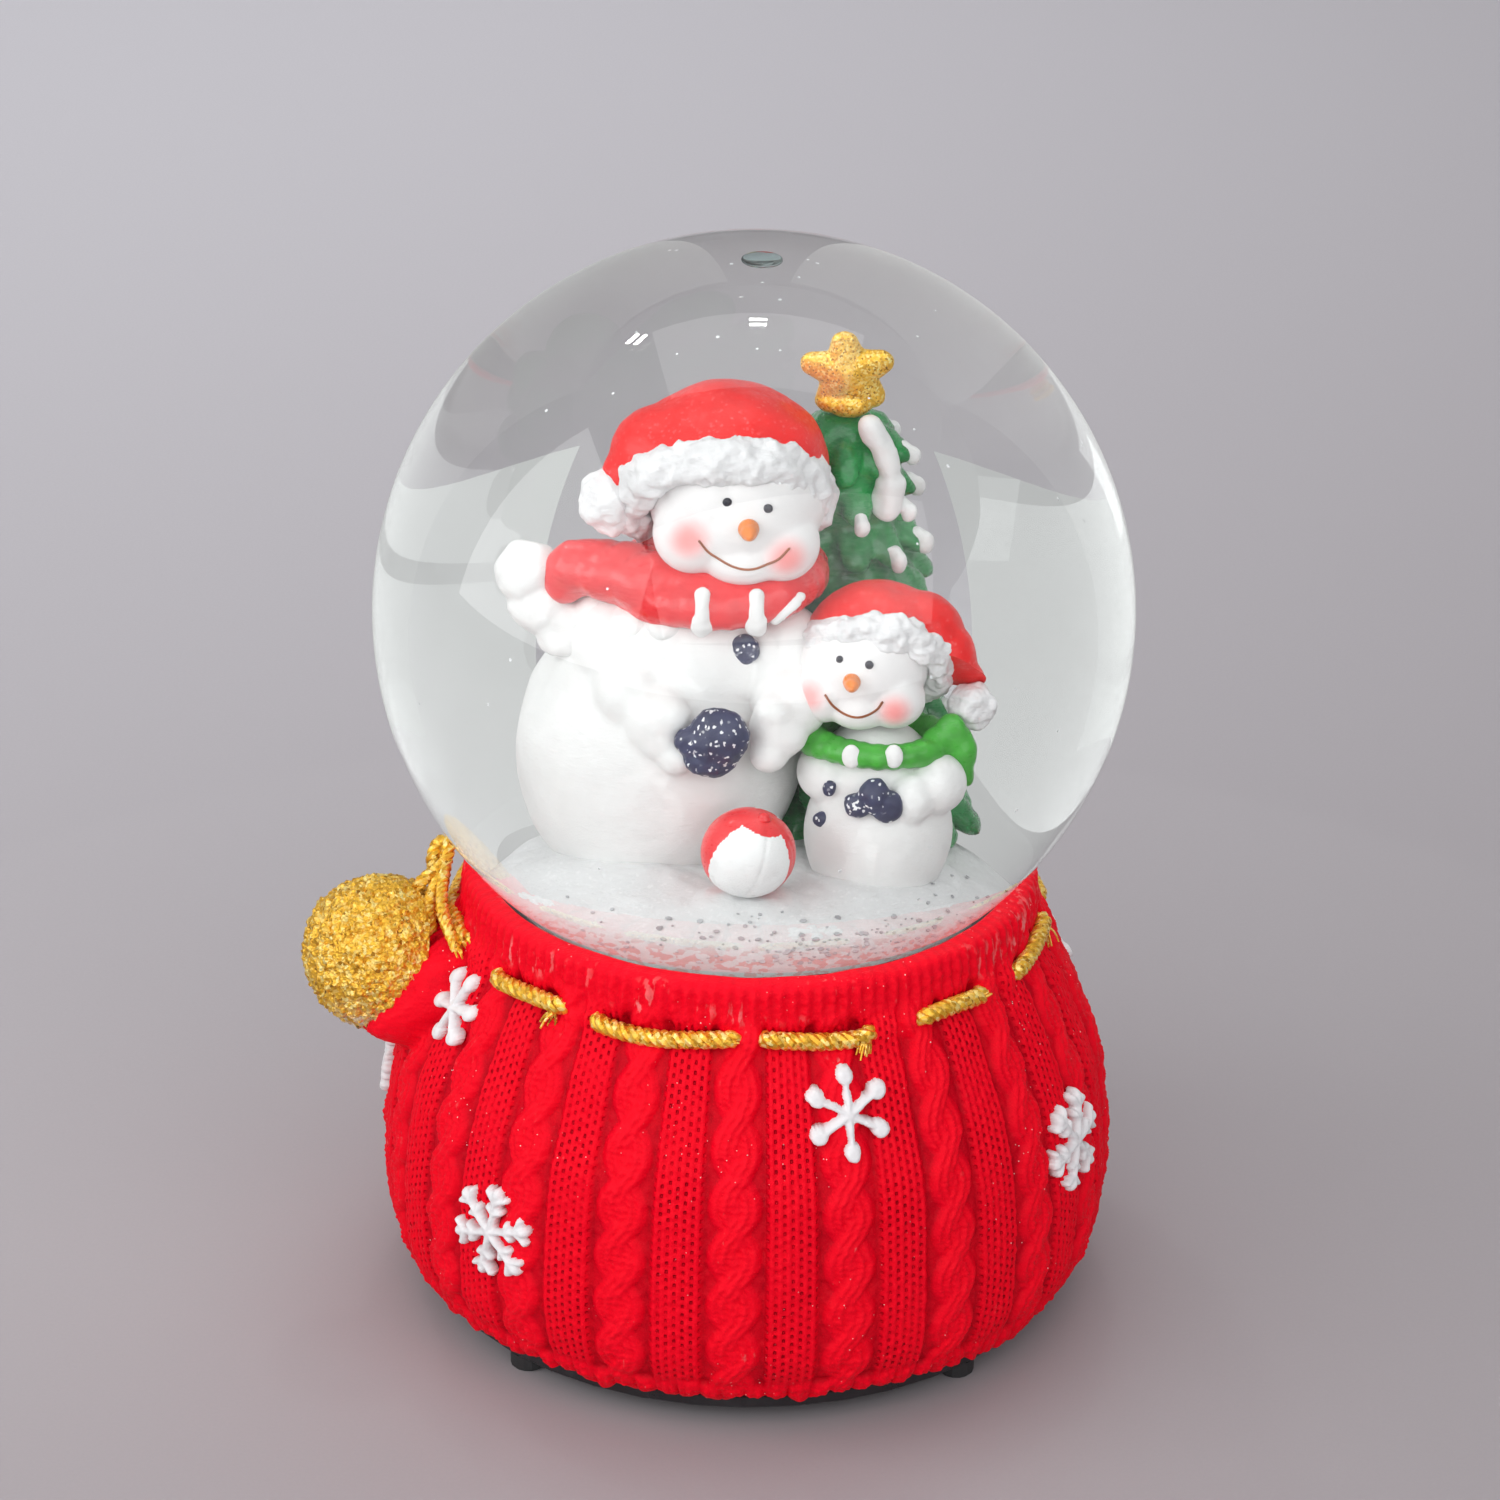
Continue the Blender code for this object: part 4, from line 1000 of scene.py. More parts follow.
def relief_plate(name, radii, angle, z, keep):
    """A closed mesh between an outer and an inner radius, over the cells of a grid to keep."""
    count = len(z)
    form = bmesh.new()
    verts = []
    for radius in radii:
        layer = np.stack([radius * np.cos(angle), radius * np.sin(angle), z], -1)
        verts += [form.verts.new(spot(*point)) for point in layer.reshape(-1, 3)]
    index = np.arange(count * count).reshape(count, count)
    quads = np.stack([index[:-1, :-1], index[:-1, 1:], index[1:, 1:], index[1:, :-1]], -1)[keep]
    shift = count * count
    borders = {}
    for quad in quads.tolist():
        form.faces.new([verts[i] for i in quad])
        form.faces.new([verts[i + shift] for i in reversed(quad)])
        borders.update(dict.fromkeys(zip(quad, quad[1:] + quad[:1])))
    for a, b in borders:
        if (b, a) not in borders:
            form.faces.new([verts[a], verts[a + shift], verts[b + shift], verts[b]])
    bmesh.ops.delete(form, geom=[v for v in form.verts if not v.link_faces], context="VERTS")
    bmesh.ops.smooth_vert(
        form, verts=form.verts, factor=0.5, use_axis_x=True, use_axis_y=True, use_axis_z=True
    )
    bmesh.ops.recalc_face_normals(form, faces=form.faces)
    mesh = bpy.data.meshes.new(name)
    form.to_mesh(mesh)
    form.free()
    mesh.shade_smooth()
    return mesh


def snowflake(name, bearing, height, reach, roll, lobes, look):
    """A raised flake that follows the curve of the sack."""
    count = 76
    side = np.linspace(-reach - 0.6, reach + 0.6, count)
    x, y = np.meshgrid(side, side)
    wobble = smooth_noise(np.stack([x, y, x * 0 + bearing], -1).reshape(-1, 3), 1.3, 6)
    distance = flake_distance(x, y, reach, lobes) + 0.16 * wobble.reshape(x.shape)
    turn = math.radians(roll)
    across = x * math.cos(turn) - y * math.sin(turn)
    up = x * math.sin(turn) + y * math.cos(turn)
    z = height + up * 0.97
    outer = resampled(OUTER_PATH, SURFACE_STEP)[PAST_RIM:]
    radius = np.interp(z, outer[::-1, 1], outer[::-1, 0])
    angle = math.radians(bearing) + across / radius
    inside = distance < 0.12
    thick = 0.95 * np.sqrt(np.clip(-distance + 0.12, 0, 0.7) / 0.7)
    keep = inside[:-1, :-1] & inside[1:, :-1] & inside[:-1, 1:] & inside[1:, 1:]
    mesh = relief_plate(name, (radius + 0.25 + thick, radius - 0.9), angle, z, keep)
    piece(f"{name}_relief", mesh, look, replaces=(name,))


def snowflakes():
    look = painted("flake_paint", (0.86, 0.85, 0.86), 0.5, 0.93, grain=0.08)
    for name, facts in FLAKES.items():
        snowflake(name, *facts, look)


# Glass and liquid


def globe():
    """The blown shell. Its inner wall bends light as a wall with water behind it."""
    inner_r = GLOBE_R - GLASS_WALL
    neck_r, lip_z = 31.5, 50.5
    neck_in = neck_r - GLASS_WALL

    def section(radius, end_radius, steps):
        last = math.pi - math.asin(end_radius / radius)
        angles = [last * i / steps for i in range(steps + 1)]
        return [(max(radius * math.sin(a), 0.02), GLOBE_Z + radius * math.cos(a)) for a in angles]

    outer = section(GLOBE_R, neck_r, 80) + [(neck_r, 56), (neck_r, lip_z + 0.4)]
    inner = [(neck_in, lip_z + 0.4), (neck_in, 56)] + section(inner_r, neck_in, 76)[::-1]
    profile = [*outer, (neck_r - 0.4, lip_z), (neck_in + 0.4, lip_z), *inner]
    steps = 160
    angles = np.linspace(0, 2 * math.pi, steps, endpoint=False)
    points = [(r * math.cos(a), r * math.sin(a), z) for r, z in profile for a in angles]
    faces = grid_faces(len(profile), steps).tolist()
    last = (len(profile) - 1) * steps
    faces.append(list(range(steps)))
    faces.append([last + i for i in reversed(range(steps))])
    mesh = mesh_of("globe_glass", points, faces, 60)
    wet_from = (len(outer) + 2) * steps
    for face in mesh.polygons:
        face.material_index = int(min(face.vertices) >= wet_from)
    outside = clear_look("blown_glass", 1.5, (0.985, 0.995, 0.992), 0.02)
    inside = clear_look("glass_to_water", 1.5 / 1.333, (0.975, 0.992, 0.985))
    piece("globe_glass", mesh, [outside, inside], replaces=("glass_globe",))


def bubble():
    """The air left at the top of the liquid, flat against the glass."""
    inner_r = GLOBE_R - GLASS_WALL
    top = GLOBE_Z + inner_r
    shapes = [((0.3, 0, top - 0.9), (2.6, 2.6, 0.7)), ((0.6, 0.2, top - 0.9), (2.0, 2.2, 0.75))]
    mesh = moulded(shapes, 0.15, 8)
    look = clear_look("air_bubble", 1.33, (0.75, 0.95, 0.93))
    piece("air_bubble", mesh, look)


# Figures


def fuzzy_ring(name, major, across, along, centre, turn, look, replaces, curl=0.5):
    """A fur brim: a ring with curls."""
    rows, columns = 56, 220
    around = np.linspace(0, 2 * math.pi, columns, endpoint=False)[None, :]
    section = np.linspace(0, 2 * math.pi, rows, endpoint=False)[:, None]
    radius = major + across * np.cos(section) + 0 * around
    points = np.stack(
        [radius * np.cos(around), radius * np.sin(around), along * np.sin(section) + 0 * around], -1
    ).reshape(-1, 3)
    matrix = Euler(turn).to_matrix()
    points = points @ np.array(matrix).T + np.array(centre)
    mesh = mesh_of(name, points, grid_faces(rows, columns, wrap_rows=True), 180)
    lumpy(mesh, (2.2, 0.8 * curl), (0.9, 0.5 * curl), (0.45, 0.25 * curl))
    return piece(name, mesh, look, replaces=replaces)


def on_surface(surface, x, z, lift=0.0):
    """The point of a mesh that shows at x and z from the front, raised a little."""
    hit, normal, _, _ = surface.ray_cast(spot(x, -60, z), Vector((0, 1, 0)))
    if hit is None:
        raise ValueError(f"nothing in front at {x}, {z}")
    hit = hit + normal * lift * MM
    return Vector(((hit.x - AXIS_X) / MM, hit.y / MM, hit.z / MM)), normal


def surface_of(mesh):
    points = [vertex.co.copy() for vertex in mesh.vertices]
    return BVHTree.FromPolygons(points, [face.vertices[:] for face in mesh.polygons])


def button(name, surface, x, z, radii, look, lumps=0.12):
    """A painted drop on a figure's front."""
    place, _ = on_surface(surface, x, z)
    mesh = moulded([(place, radii)], 0.16, 2)
    lumpy(mesh, (0.8, lumps))
    return piece(name, mesh, look)


def face_details(who, surface, eyes, nose, smile, looks):
    """Eyes, carrot and smile of a snowman."""
    for number, (x, z, size) in enumerate(eyes, 1):
        radii = (size, 0.35, size)
        button(f"{who}_eye_{number}", surface, x, z, radii, looks["ink"], 0.03)
    x, z, size = nose
    place, _ = on_surface(surface, x, z)
    shapes = [
        (place, (size, 1.0, size)),
        (place + Vector((0.05, -0.9, 0)), (size * 0.8, 1.0, size * 0.8)),
        (place + Vector((0.1, -1.6, 0)), (size * 0.5, 0.8, size * 0.5)),
    ]
    piece(f"{who}_nose", moulded(shapes, 0.16, 3), looks["carrot"])
    points = [on_surface(surface, px, pz, 0.02)[0] for px, pz in curve_points(smile, 24)]
    piece(
        f"{who}_smile", bundle(f"{who}_smile", [sweep(points, 0.14, 6)]), looks["brown"]
    )


def curve_points(points, count):
    return [(p.x, p.z) for p in rounded_path([(x, 0, z) for x, z in points], count)]


def skin_look(name, cheeks, blush=0.75):
    """White matt paint with two soft red cheeks."""
    look = painted(name, (0.82, 0.8, 0.8), 0.5, 0.95, grain=0.03)
    tone = look.shader.inputs["Base Color"].links[0].from_socket
    for centre, radius in cheeks:
        spray = look.math("MULTIPLY", look.near(centre, radius), blush)
        tone = look.mix(spray, tone, (0.93, 0.16, 0.15))
    look.connect(tone, "Base Color")
    return look


def parent_body(looks):
    body = moulded(
        [
            ((-8.8, 1.5, 83.4), (13.6, 12.4, 14.4)),
            ((-6.4, 0.8, 94.0), (10.6, 9.2, 9.6)),
            ((-13.6, -1.2, 95.0), (4.6, 5.2, 5.6)),
            ((-12.2, -5.6, 91.6), (4.0, 4.6, 4.0)),
            ((-9.6, -9.2, 89.8), (3.5, 3.4, 3.6)),
            ((3.0, -3.0, 95.0), (4.4, 4.6, 4.8)),
            ((4.0, -7.2, 91.4), (3.7, 4.2, 3.8)),
            ((2.6, -10.2, 89.4), (2.8, 2.6, 3.3)),
            ((-8.6, -10.6, 90.8), (2.3, 2.3, 2.2)),
            ((-9.3, -10.3, 88.2), (2.3, 2.3, 2.3)),
            ((-7.6, -11.2, 86.6), (2.0, 2.0, 1.9)),
            ((2.2, -10.8, 91.4), (2.1, 2.1, 2.0)),
            ((3.4, -10.4, 89.0), (2.2, 2.3, 2.3)),
            ((1.8, -11.0, 87.0), (2.0, 2.0, 1.9)),
        ],
        0.42,
        5,
    )
    body = trimmed(body, (0, 0, 71.2), (0, 0, 1))
    lumpy(body, (5, 0.25), (1.6, 0.05))
    surface = surface_of(body)
    piece("parent_snow_body", body, looks["white"], replaces=("parent_body",))
    mitten = moulded(
        [
            ((-3.5, -13.2, 89.5), (3.3, 2.2, 3.2)),
            ((-6.3, -12.8, 88.8), (1.7, 1.6, 1.8)),
            ((-4.4, -12.9, 86.8), (2.8, 1.8, 1.7)),
        ],
        0.25,
        3,
    )
    lumpy(mitten, (1.2, 0.22), (0.5, 0.08))
    piece("parent_mittens", mitten, looks["navy"])
    button("parent_button", surface, -0.9, 96.6, (1.55, 0.8, 1.65), looks["navy"])


def parent_head(looks):
    head = moulded(
        [
            ((-1.8, -0.4, 110.8), (9.0, 8.6, 8.4)),
            ((-6.4, -4.6, 108.6), (4.2, 4.0, 4.2)),
            ((2.6, -4.6, 107.6), (4.2, 4.0, 4.0)),
            ((-1.2, -5.0, 106.6), (4.6, 4.0, 3.2)),
        ],
        0.35,
        6,
    )
    lumpy(head, (6, 0.15))
    surface = surface_of(head)
    cheeks = [((-7.0, -8.2, 109.6), 3.4), ((3.4, -8.4, 107.6), 3.4)]
    skin = skin_look("parent_skin", cheeks)
    piece("parent_snow_head", head, skin, replaces=("parent_head",))
    face_details(
        "parent",
        surface,
        [(-3.0, 114.0, 0.55), (1.3, 113.2, 0.55)],
        (-0.7, 111.2, 1.15),
        [(-5.9, 109.6), (-4.2, 107.7), (-0.9, 106.6), (1.9, 107.3), (3.6, 108.8)],
        looks,
    )


def parent_hat(looks):
    centre, turn = (-3.3, 0.4, 110.6), (math.radians(-49), math.radians(-4), 0)
    up = Euler(turn).to_matrix() @ Vector((0, 0, 1))
    hat = moulded(
        [
            ((-3.0, 1.8, 112.6), (10.4, 9.8, 9.0)),
            ((-8.6, 1.6, 114.0), (6.4, 6.0, 5.6)),
            ((-12.6, 0.8, 112.6), (3.2, 3.4, 3.0)),
        ],
        0.4,
        6,
    )
    trimmed(hat, centre, up)
    lumpy(hat, (4.5, 0.3), (1.2, 0.05))
    piece("parent_knit_hat", hat, looks["red"], replaces=("parent_hat",))
    fuzzy_ring(
        "parent_fur_brim", 9.4, 1.9, 2.6, centre, turn, looks["fur"], ("parent_hat_brim",), 0.7
    )
    tufts = [((-15.2, -0.2, 110.2), (2.9, 2.8, 3.1)), ((-14.6, 0, 108.4), (2.3, 2.3, 2.0))]
    ball = moulded(tufts, 0.25, 2)
    lumpy(ball, (1.3, 0.35), (0.5, 0.15))
    piece("parent_fur_pompom", ball, looks["fur"], replaces=("parent_hat_pompom",))


def parent_scarf(looks):
    wrap = []
    for step in range(30):
        angle = 2 * math.pi * step / 30
        across, along = math.cos(angle), math.sin(angle)
        centre = (-3.6 + 8.6 * across, 0.2 + 7.4 * along, 101.6 + 0.6 * across)
        wrap.append((centre, (2.6, 2.6, 2.5)))
    tail = [
        ((-10.5, -3.6, 102.6), (4.4, 3.0, 3.1), (0, 0.1, 0.3)),
        ((-13.5, -2.0, 102.9), (4.6, 2.8, 3.0), (0, 0.0, 0.3)),
        ((-16.5, -0.8, 103.0), (4.2, 2.5, 3.0), (0, -0.1, 0.2)),
        ((-18.6, -0.4, 102.2), (2.6, 2.2, 3.4), (0, 0.2, 0.2)),
    ]
    core = [((-3.8, -0.4, 103.2), (8.8, 7.6, 2.8))]
    scarf = moulded(wrap + tail + core, 0.38, 4)
    lumpy(scarf, (3.2, 0.35), (1.1, 0.08))
    surface = surface_of(scarf)
    piece("parent_red_scarf", scarf, looks["red_gloss"], replaces=("parent_scarf",))
    fringe = moulded(
        [
            ((-22.6, 1.0, 101.4), (3.3, 2.6, 3.4)),
            ((-21.2, 0.6, 98.2), (3.1, 2.5, 3.2)),
            ((-18.4, 0.2, 95.8), (3.1, 2.5, 3.0)),
            ((-15.2, -1.0, 97.4), (2.8, 2.6, 2.8)),
            ((-12.2, -3.4, 98.2), (2.6, 2.6, 2.2)),
            ((-8.8, -5.4, 98.4), (2.2, 2.2, 1.5)),
        ],
        0.3,
        3,
    )
    lumpy(fringe, (2.0, 0.3), (0.9, 0.1))
    piece("parent_scarf_fringe", fringe, looks["white"])
    stripes = []
    for x, top, foot in ((-5.3, 103.4, 99.9), (0.2, 103.2, 99.8)):
        for step in range(9):
            z = top + (foot - top) * step / 8
            place, _ = on_surface(surface, x, z, 0.05)
            size = 0.85 if step < 6 else 1.15
            stripes.append((place, (size, 0.55, size)))
    for step in range(7):
        place, _ = on_surface(surface, 2.2 + 0.4 * step, 100.4 + 0.35 * step, 0.05)
        stripes.append((place, (0.62, 0.45, 0.55)))
    mesh = moulded(stripes, 0.2, 2)
    lumpy(mesh, (0.9, 0.1))
    piece("parent_scarf_stripes", mesh, looks["white"])


def parent(looks):
    for part in (parent_body, parent_head, parent_hat, parent_scarf):
        part(looks)


def child_body(looks):
    body = moulded(
        [
            ((12.5, -6.4, 77.6), (7.3, 6.9, 8.4)),
            ((12.4, -6.2, 83.0), (6.2, 5.8, 6)),
            ((18.2, -8.0, 83.2), (3.4, 4.2, 3.3), (0, 0, 0.5)),
            ((16.4, -11.2, 82.4), (2.4, 2.2, 2.7)),
            ((7.6, -7.6, 84), (3.2, 3.6, 3.2)),
        ],
        0.35,
        5,
    )
    body = trimmed(body, (0, 0, 71.2), (0, 0, 1))
    lumpy(body, (4, 0.2), (1.4, 0.05))
    surface = surface_of(body)
    piece("child_snow_body", body, looks["white"], replaces=("child_body",))
    mitten = moulded(
        [
            ((12.6, -13.2, 83.3), (1.7, 1.3, 2.0)),
            ((11.0, -12.9, 82.2), (1.5, 1.2, 1.4)),
            ((14.0, -12.9, 82.0), (1.6, 1.3, 1.8)),
        ],
        0.2,
        2,
    )
    lumpy(mitten, (0.9, 0.18))
    piece("child_mittens", mitten, looks["navy"])
    button("child_button_1", surface, 7.9, 83.4, (0.75, 0.6, 0.95), looks["navy"])
    button("child_button_2", surface, 7.1, 79.9, (0.95, 0.6, 0.85), looks["navy"])


def child_head(looks):
    head = moulded(
        [
            ((11.2, -5.6, 95.2), (6.6, 6.0, 6.2)),
            ((7.2, -8.2, 92.8), (3.1, 3.0, 3.1)),
            ((14.4, -8.4, 92.2), (3.2, 3.0, 3.1)),
            ((10.9, -8.6, 91.6), (3.4, 3.0, 2.5)),
        ],
        0.3,
        5,
    )
    lumpy(head, (5, 0.12))
    surface = surface_of(head)
    cheeks = [((6.0, -10.2, 93.2), 2.5), ((14.6, -11.0, 91.8), 2.7)]
    skin = skin_look("child_skin", cheeks)
    piece("child_snow_head", head, skin, replaces=("child_head",))
    face_details(
        "child",
        surface,
        [(8.9, 97.4, 0.42), (12.0, 97.0, 0.5)],
        (10.2, 95.2, 0.95),
        [(7.4, 93.6), (8.6, 92.0), (10.7, 91.3), (12.6, 91.9), (13.4, 92.9)],
        looks,
    )


def child_hat(looks):
    centre, turn = (12.1, -4.4, 95.0), (math.radians(-47), math.radians(9), 0)
    up = Euler(turn).to_matrix() @ Vector((0, 0, 1))
    hat = moulded(
        [
            ((12.2, -3.6, 96.0), (7.4, 6.8, 6.6)),
            ((16.4, -3.2, 97.0), (4.8, 4.4, 4.4)),
            ((19.0, -4.0, 94.6), (3.6, 3.4, 4.2)),
            ((20.8, -4.4, 92.2), (2.8, 2.8, 2.8)),
        ],
        0.32,
        5,
    )
    trimmed(hat, centre, up)
    lumpy(hat, (3.5, 0.25), (1.1, 0.05))
    piece("child_knit_hat", hat, looks["red"], replaces=("child_hat",))
    fuzzy_ring("child_fur_brim", 6.6, 1.6, 1.9, centre, turn, looks["fur"], ("child_hat_brim",), 0.8)
    ball = moulded([((21.8, -4.2, 90.0), (2.5, 2.4, 2.4))], 0.22, 2)
    lumpy(ball, (1.2, 0.4), (0.5, 0.15))
    piece("child_fur_pompom", ball, looks["fur"], replaces=("child_hat_pompom",))


def child_scarf(looks):
    wrap = []
    for step in range(26):
        angle = 2 * math.pi * step / 26
        across, along = math.cos(angle), math.sin(angle)
        centre = (12.2 + 6.6 * across, -5.8 + 5.4 * along, 87.0 - 0.5 * across)
        wrap.append((centre, (1.6, 1.7, 1.5)))
    tail = [
        ((18.6, -7.6, 87.0), (1.7, 1.3, 2.0), (0, 0.3, 0)),
        ((20.0, -7.0, 87.8), (1.8, 1.2, 2.3), (0, 0.1, 0)),
        ((21.0, -6.6, 86.2), (1.6, 1.2, 2.8), (0, -0.1, 0)),
        ((21.2, -6.6, 84.0), (1.1, 1.0, 2.0), (0, -0.3, 0)),
    ]
    scarf = moulded(wrap + tail, 0.28, 3)
    lumpy(scarf, (2.6, 0.22), (0.9, 0.06))
    surface = surface_of(scarf)
    piece("child_green_scarf", scarf, looks["green"], replaces=("child_scarf",))
    spots = []
    for x in (10.2, 14.6):
        place, _ = on_surface(surface, x, 87.3, -0.1)
        spots.append((place, (1.0, 0.45, 1.35)))
    piece("child_scarf_spots", moulded(spots, 0.16, 2), looks["white"])


def child(looks):
    for part in (child_body, child_head, child_hat, child_scarf):
        part(looks)


def beach_ball(looks):
    """A ball of red and white gores, with a red cap and its valve."""
    centre, radius = (-0.2, -17.2, 78.0), 5.0
    mesh = moulded([(centre, (radius,) * 3)], 0.3, 2)
    pole = Vector((0.32, -0.30, 0.9)).normalized()
    aim = pole.to_track_quat("Z", "Y").to_matrix()
    columns = np.array(aim)

    def amount(local):
        flat = (local - np.array(centre)) @ columns
        angle = np.arctan2(flat[:, 1], flat[:, 0])
        gore = np.abs(np.mod(angle * 3 / math.pi, 1) - 0.5) * 2
        return -0.14 * np.clip(gore - 0.9, 0, 1) / 0.1

    displaced(mesh, amount)
    attribute = mesh.attributes.new("gore", "FLOAT", "POINT")
    values = []
    for vertex in mesh.vertices:
        local = (vertex.co - spot(*centre)) / MM
        flat = aim.transposed() @ local
        angle = (math.degrees(math.atan2(flat.y, flat.x)) - 171) % 360
        white = angle < 114 or 190 < angle < 250
        capped = flat.z > radius * 0.86
        values.append(1.0 if white and not capped else 0.0)
    attribute.data.foreach_set("value", values)
    look = painted("ball_paint", (0.87, 0.87, 0.87), 0.35, 0.96, coat_weight=0.3)
    white = look.shader.inputs["Base Color"].links[0].from_socket
    edge = look.levels(look.attribute("gore"), 0.4, 0.6)
    look.connect(look.mix(edge, (0.78, 0.03, 0.035), white), "Base Color")
    piece("ball_gores", mesh, look, replaces=("beach_ball",))
    top = Vector(centre) + pole * (radius + 0.1)
    valve = moulded([(top, (0.65, 0.65, 0.55)), (top - pole * 0.3, (0.9, 0.9, 0.4))], 0.12, 2)
    piece("ball_valve", valve, looks["red_gloss"])


TREE_AT = (8.4, 10.5)


def fir_tree(looks):
    """Overlapping tufts round a core, with snow that has run down one side."""
    rng = random.Random(11)
    x0, y0 = TREE_AT
    tufts = [((x0, y0, 88), (7.4, 7.4, 18)), ((x0, y0, 107), (5.6, 5.2, 8.2))]
    snow = []
    tiers = 9
    for tier in range(tiers):
        share = tier / (tiers - 1)
        z = 76 + 35.5 * share
        reach = 9.6 - 4.4 * share
        count = 12 - round(4 * share)
        for leaf in range(count):
            bearing = 360 * (leaf + 0.5 * (tier % 2)) / count + rng.uniform(-6, 6)
            dx, dy, _ = polar(1, bearing, 0)
            size = 1.25 - 0.45 * share
            centre = (x0 + dx * reach * 0.84, y0 + dy * reach * 0.84, z + rng.uniform(-0.5, 0.5))
            turn = (0, 0.75, math.radians(bearing))
            tufts.append((centre, (3.5 * size, 2.0 * size, 1.3 * size), turn))
            tip = (x0 + dx * (reach + 1.4), y0 + dy * (reach + 1.4), z - 1.5)
            snowy = dx > 0.15 and rng.random() < 0.8 or rng.random() < 0.12
            if snowy and tier > 1:
                snow.append((tip, (1.0 * size, 1.0 * size, 1.25 * size)))
                snow.append(((tip[0] - dx, tip[1] - dy, tip[2] + 0.9), (1.1 * size, 0.9 * size, 0.7)))
    mesh = moulded(tufts, 0.36, 2)
    lumpy(mesh, (1.6, 0.25), (0.7, 0.12))
    mesh = trimmed(mesh, (0, 0, 72.4), (0, 0, 1))
    piece("fir_tufts", mesh, looks["fir"], replaces=("fir_tree",))
    drip = [(11.2, 6.6, 115.2), (12.6, 6.4, 112.6), (13.2, 6.2, 109.6), (12.8, 6.0, 106.8)]
    for i, point in enumerate(rounded_path(drip, 12)):
        snow.append((point, (1.25 + 0.3 * (i > 7),) * 3))
    mesh = moulded(snow, 0.28, 2)
    lumpy(mesh, (1.2, 0.15))
    piece("fir_snow", mesh, looks["white"])


def tree_star():
    """A puffed five-pointed star on a short foot."""
    low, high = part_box("tree_star")
    middle = ((low + high) / 2 - Vector((AXIS_X, 0, 0))) / MM - Vector((0, 0, 0.7))
    shapes = []
    lean = math.radians(4)
    for point in range(5):
        angle = math.pi / 2 + 2 * math.pi * point / 5 + lean
        for step in range(7):
            share = step / 6
            reach = 3.5 * share
            size = 2.5 * (1 - 0.42 * share)
            centre = middle + Vector((reach * math.cos(angle), 0, reach * math.sin(angle)))
            shapes.append((centre, (size, 1.7 * (1 - 0.55 * share), size)))
    shapes.append((middle + Vector((0, 0, -3.6)), (2.4, 1.7, 1.5)))
    shapes.append((middle + Vector((-1.6, 0, -3.4)), (1.8, 1.5, 1.2)))
    mesh = moulded(shapes, 0.2, 5)
    lumpy(mesh, (0.9, 0.05))
    piece("star_glitter", mesh, gold_look("gold_star", 0.3, 0.2), replaces=("tree_star",))


def mound(looks):
    """Snow that rises to the feet of the figures, and falls to the edge."""
    rings, steps = 90, 260
    edge, top, foot = 28.4, 72.7, 58.8
    share = np.linspace(0.004, 1, rings)[:, None]
    around = np.linspace(0, 2 * math.pi, steps, endpoint=False)[None, :]
    radius = share * edge
    x, y = radius * np.cos(around), radius * np.sin(around)
    z = top - 8.2 * np.clip((share - 0.45) / 0.55, 0, 1) ** 2.3 + 0 * around
    for (cx, cy), (rx, ry), lift in (
        ((-8.6, 1.5), (15.4, 14.2), 1.3),
        ((12.5, -6.4), (9.4, 9.0), 1.0),
        ((-0.2, -17.2), (5.4, 5.4), 0.7),
        ((8.4, 11), (12, 11), 0.8),
    ):
        away = np.hypot((x - cx) / rx, (y - cy) / ry)
        z = z + lift * np.exp(-((np.clip(away - 0.8, 0, None) / 0.22) ** 2))
    points = np.stack([x, y, z], -1).reshape(-1, 3)
    z = z + (0.3 * smooth_noise(points, 5, 1) + 0.12 * smooth_noise(points, 1.5, 2)).reshape(z.shape)
    side = []
    for step in range(1, 13):
        drop = (z[-1:] - foot) * step / 12
        bulge = edge + 0.5 * math.sin(math.pi * step / 12)
        side.append(np.stack([bulge * np.cos(around), bulge * np.sin(around), z[-1:] - drop], -1))
    grid = np.concatenate([np.stack([x, y, z], -1), *side])
    faces = grid_faces(len(grid), steps).tolist()
    faces.append(list(range(steps)))
    last = (len(grid) - 1) * steps
    faces.append([last + i for i in reversed(range(steps))])
    mesh = mesh_of("snow_ground", grid.reshape(-1, 3), faces, 60)
    piece("snow_ground", mesh, looks["snow"], replaces=("snow_mound",))
    return surface_of(mesh)


def flake_chip(centre, normal, size, rng):
    """A thin six-sided chip."""
    normal = Vector(normal).normalized()
    side = normal.orthogonal().normalized()
    other = normal.cross(side)
    start = rng.uniform(0, 1)
    points = []
    for level in (-0.04, 0.04):
        for i in range(6):
            angle = start + math.pi * i / 3
            reach = size * rng.uniform(0.75, 1)
            offset = side * math.cos(angle) * reach + other * math.sin(angle) * reach
            points.append(Vector(centre) + offset + normal * level)
    faces = [tuple(reversed(range(6))), tuple(range(6, 12))]
    faces += [(i, (i + 1) % 6, (i + 1) % 6 + 6, i + 6) for i in range(6)]
    return points, faces


